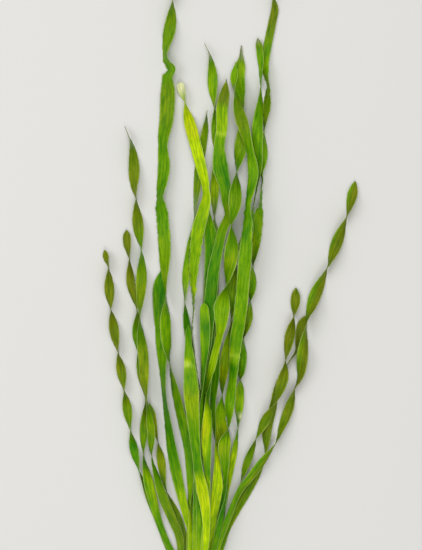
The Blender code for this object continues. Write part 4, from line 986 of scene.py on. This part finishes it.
# what each colour follows, over which range of it, and the colour's share at the range's two ends
SHEATH_LAYERS = (
    ("back", {1: 0.0, 2: 0.35, 3: 0.7, 4: 0.0}, SHEATH_GREEN),
    ("back", {1: 0.45, 2: 1.0, 3: 0.0, 4: 0.95}, SHEATH_TAN),
    ("threads", {1: 0.5, 2: 0.75, 3: 0.0, 4: 0.55}, SHEATH_FIBRE),
)
pale, tree, shader, _ = new_material("fibrous_pale_leaf_sheath", SHEATH_SKIN)
carried = {}
for value in ("back", "turn"):
    carried[value] = add_node(tree, "Attribute", attribute_name=value).outputs["Fac"]
place = add_node(tree, "CombineXYZ", {"X": carried["back"], "Y": carried["turn"]}).outputs[0]
laid = add_node(tree, "Mapping", {"Vector": place, "Scale": THREAD_SCALE}).outputs[0]
carried["threads"] = add_node(tree, "TexNoise", {"Vector": laid, **THREAD_NOISE}).outputs["Fac"]
colour = linear(SHEATH_WHITE)
for value, span, code in SHEATH_LAYERS:
    share = add_node(tree, "MapRange", {"Value": carried[value], **span}).outputs[0]
    colour = add_node(tree, "Mix", {0: share, 6: colour, 7: linear(code)}, data_type="RGBA").outputs[2]
tree.links.new(colour, shader.inputs["Base Color"])
relief = add_node(tree, "Bump", {"Height": carried["threads"], **THREAD_RELIEF})
tree.links.new(relief.outputs[0], shader.inputs["Normal"])
crown.data.materials.append(pale)
print("crown material:", pale.name)

# %% [markdown]
# ## The roots
# Thin unbranched roots leave the crown's tail, drop to the surface and wander. They are cream and waxy when
# young, browner towards their tips, and never quite the same thickness along their length. A curve with a
# bevel would give an even tube, so the tube's rings are made here, each with its own radius.

# %% Rings of the roots
ROOT_RADIUS = 0.0005
ROOT_TIP_RADIUS = 0.0003
ROOT_PITCH = 0.0012
ROOT_STAGGER = 0.0013
ROOT_STUB = 0.0015
# name, heading in degrees from -Y, length and sideways sway in metres
ROOTS = (
    ("root_1", -62, 0.030, 0.003),
    ("root_2", -42, 0.038, -0.004),
    ("root_3", -25, 0.046, 0.005),
    ("root_4", -9, 0.050, -0.004),
    ("root_5", 8, 0.047, 0.004),
    ("root_6", 24, 0.050, -0.005),
    ("root_7", 41, 0.040, 0.004),
    ("root_8", 60, 0.032, -0.003),
)
# shares of the length, of the sway, and of the height at which the root leaves the crown
ROOT_BENDS = ((0.16, 0.0, 0.75), (0.4, 0.6, 0.15), (0.7, -0.5, 0.0), (1.0, 0.4, 0.0))
ROOT_SIDES = 12
ROOT_STEP = 0.0006
KNOT = 0.12
KNOT_LENGTH = 0.0040
ROOT_SEED = 100
# the tip's rounding: its length, its least value, and the share of the root's length where it would close
ROUND_LENGTH, ROUND_LEAST, ROUND_END = 0.0006, 0.1, 1.0005


def root_rings(order, heading, length, sway):
    """Rings along one root, and how far along it each one is."""
    turn = math.radians(heading)
    height = crown_top / 2 + ROOT_STAGGER * (-1) ** order
    start = np.array([(order - (len(ROOTS) - 1) / 2) * ROOT_PITCH, -CROWN_LENGTH - TOUCH_GAP])
    ahead = np.array([math.sin(turn), -math.cos(turn)])
    beside = np.array([-ahead[1], ahead[0]])
    places = [(*start, height), (start[0], start[1] - ROOT_STUB, height)]
    for share, offset, lift in ROOT_BENDS:
        place = start + ahead * length * share + beside * sway * offset
        places.append((*place, ROOT_RADIUS + (height - ROOT_RADIUS) * lift))
    route, along = smooth_curve(places, ROOT_STEP)
    onward = np.gradient(route, axis=0)
    onward /= np.linalg.norm(onward, axis=1)[:, None]
    across = np.cross(onward, (0, 0, 1))
    across /= np.linalg.norm(across, axis=1)[:, None]
    above = np.cross(across, onward)
    share = along / along[-1]
    knots = 1 - KNOT * (1 + wander(along, KNOT_LENGTH, np.random.default_rng(ROOT_SEED + order))) / 2
    radius = (ROOT_RADIUS + (ROOT_TIP_RADIUS - ROOT_RADIUS) * share) * knots
    radius *= np.sqrt(np.clip((ROUND_END - share) * along[-1] / ROUND_LENGTH, ROUND_LEAST, 1))
    angles = 2 * math.pi * np.arange(ROOT_SIDES) / ROOT_SIDES
    ring = across[:, None] * np.cos(angles)[:, None] + above[:, None] * np.sin(angles)[:, None]
    route[:, :2] += MOUTH
    return route[:, None] + radius[:, None, None] * ring, share


print("longest root, mm:", round(1000 * max(length for _, _, length, _ in ROOTS)))

# %% Root material, and the roots
# a young root's skin is waxy: a soft gloss, with specks a little over a millimetre apart
ROOT_SKIN = {"Roughness": 0.45, "IOR": 1.42}
ROOT_CREAM = "#DCCBA0"
ROOT_BROWN = "#8E6B3E"
SPECK_NOISE = {"Scale": 900.0, "Detail": 3.0}
SPECK_RELIEF = {"Strength": 0.3, "Distance": 0.0001}
SPECK_SHARE = 0.5
AGEING_RANGE = {1: 0.35, 2: 1.0, 3: 0.0, 4: 0.7}
BROWN_RANGE = {1: 0.25, 2: 1.0, 3: 0.0, 4: 1.0}
cream, tree, shader, _ = new_material("waxy_cream_root", ROOT_SKIN)
share = add_node(tree, "Attribute", attribute_name="share").outputs["Fac"]
texture = add_node(tree, "TexCoord").outputs["Object"]
specks = add_node(tree, "TexNoise", {"Vector": texture, **SPECK_NOISE}).outputs["Fac"]
ageing = add_node(tree, "MapRange", {"Value": share, **AGEING_RANGE}).outputs[0]
aged = add_node(tree, "Math", {0: specks, 1: SPECK_SHARE, 2: ageing}, operation="MULTIPLY_ADD").outputs[0]
aged = add_node(tree, "MapRange", {"Value": aged, **BROWN_RANGE}).outputs[0]
layer = {0: aged, 6: linear(ROOT_CREAM), 7: linear(ROOT_BROWN)}
colour = add_node(tree, "Mix", layer, data_type="RGBA").outputs[2]
tree.links.new(colour, shader.inputs["Base Color"])
relief = add_node(tree, "Bump", {"Height": specks, **SPECK_RELIEF})
tree.links.new(relief.outputs[0], shader.inputs["Normal"])
for order, (name, heading, length, sway) in enumerate(ROOTS):
    rings, share = root_rings(order, heading, length, sway)
    root = add_skin(name + "_thread", rings, {"share": share[:, None] * np.ones(ROOT_SIDES)})
    root.data.materials.append(cream)
    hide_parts(name)
print(len(ROOTS), "roots")
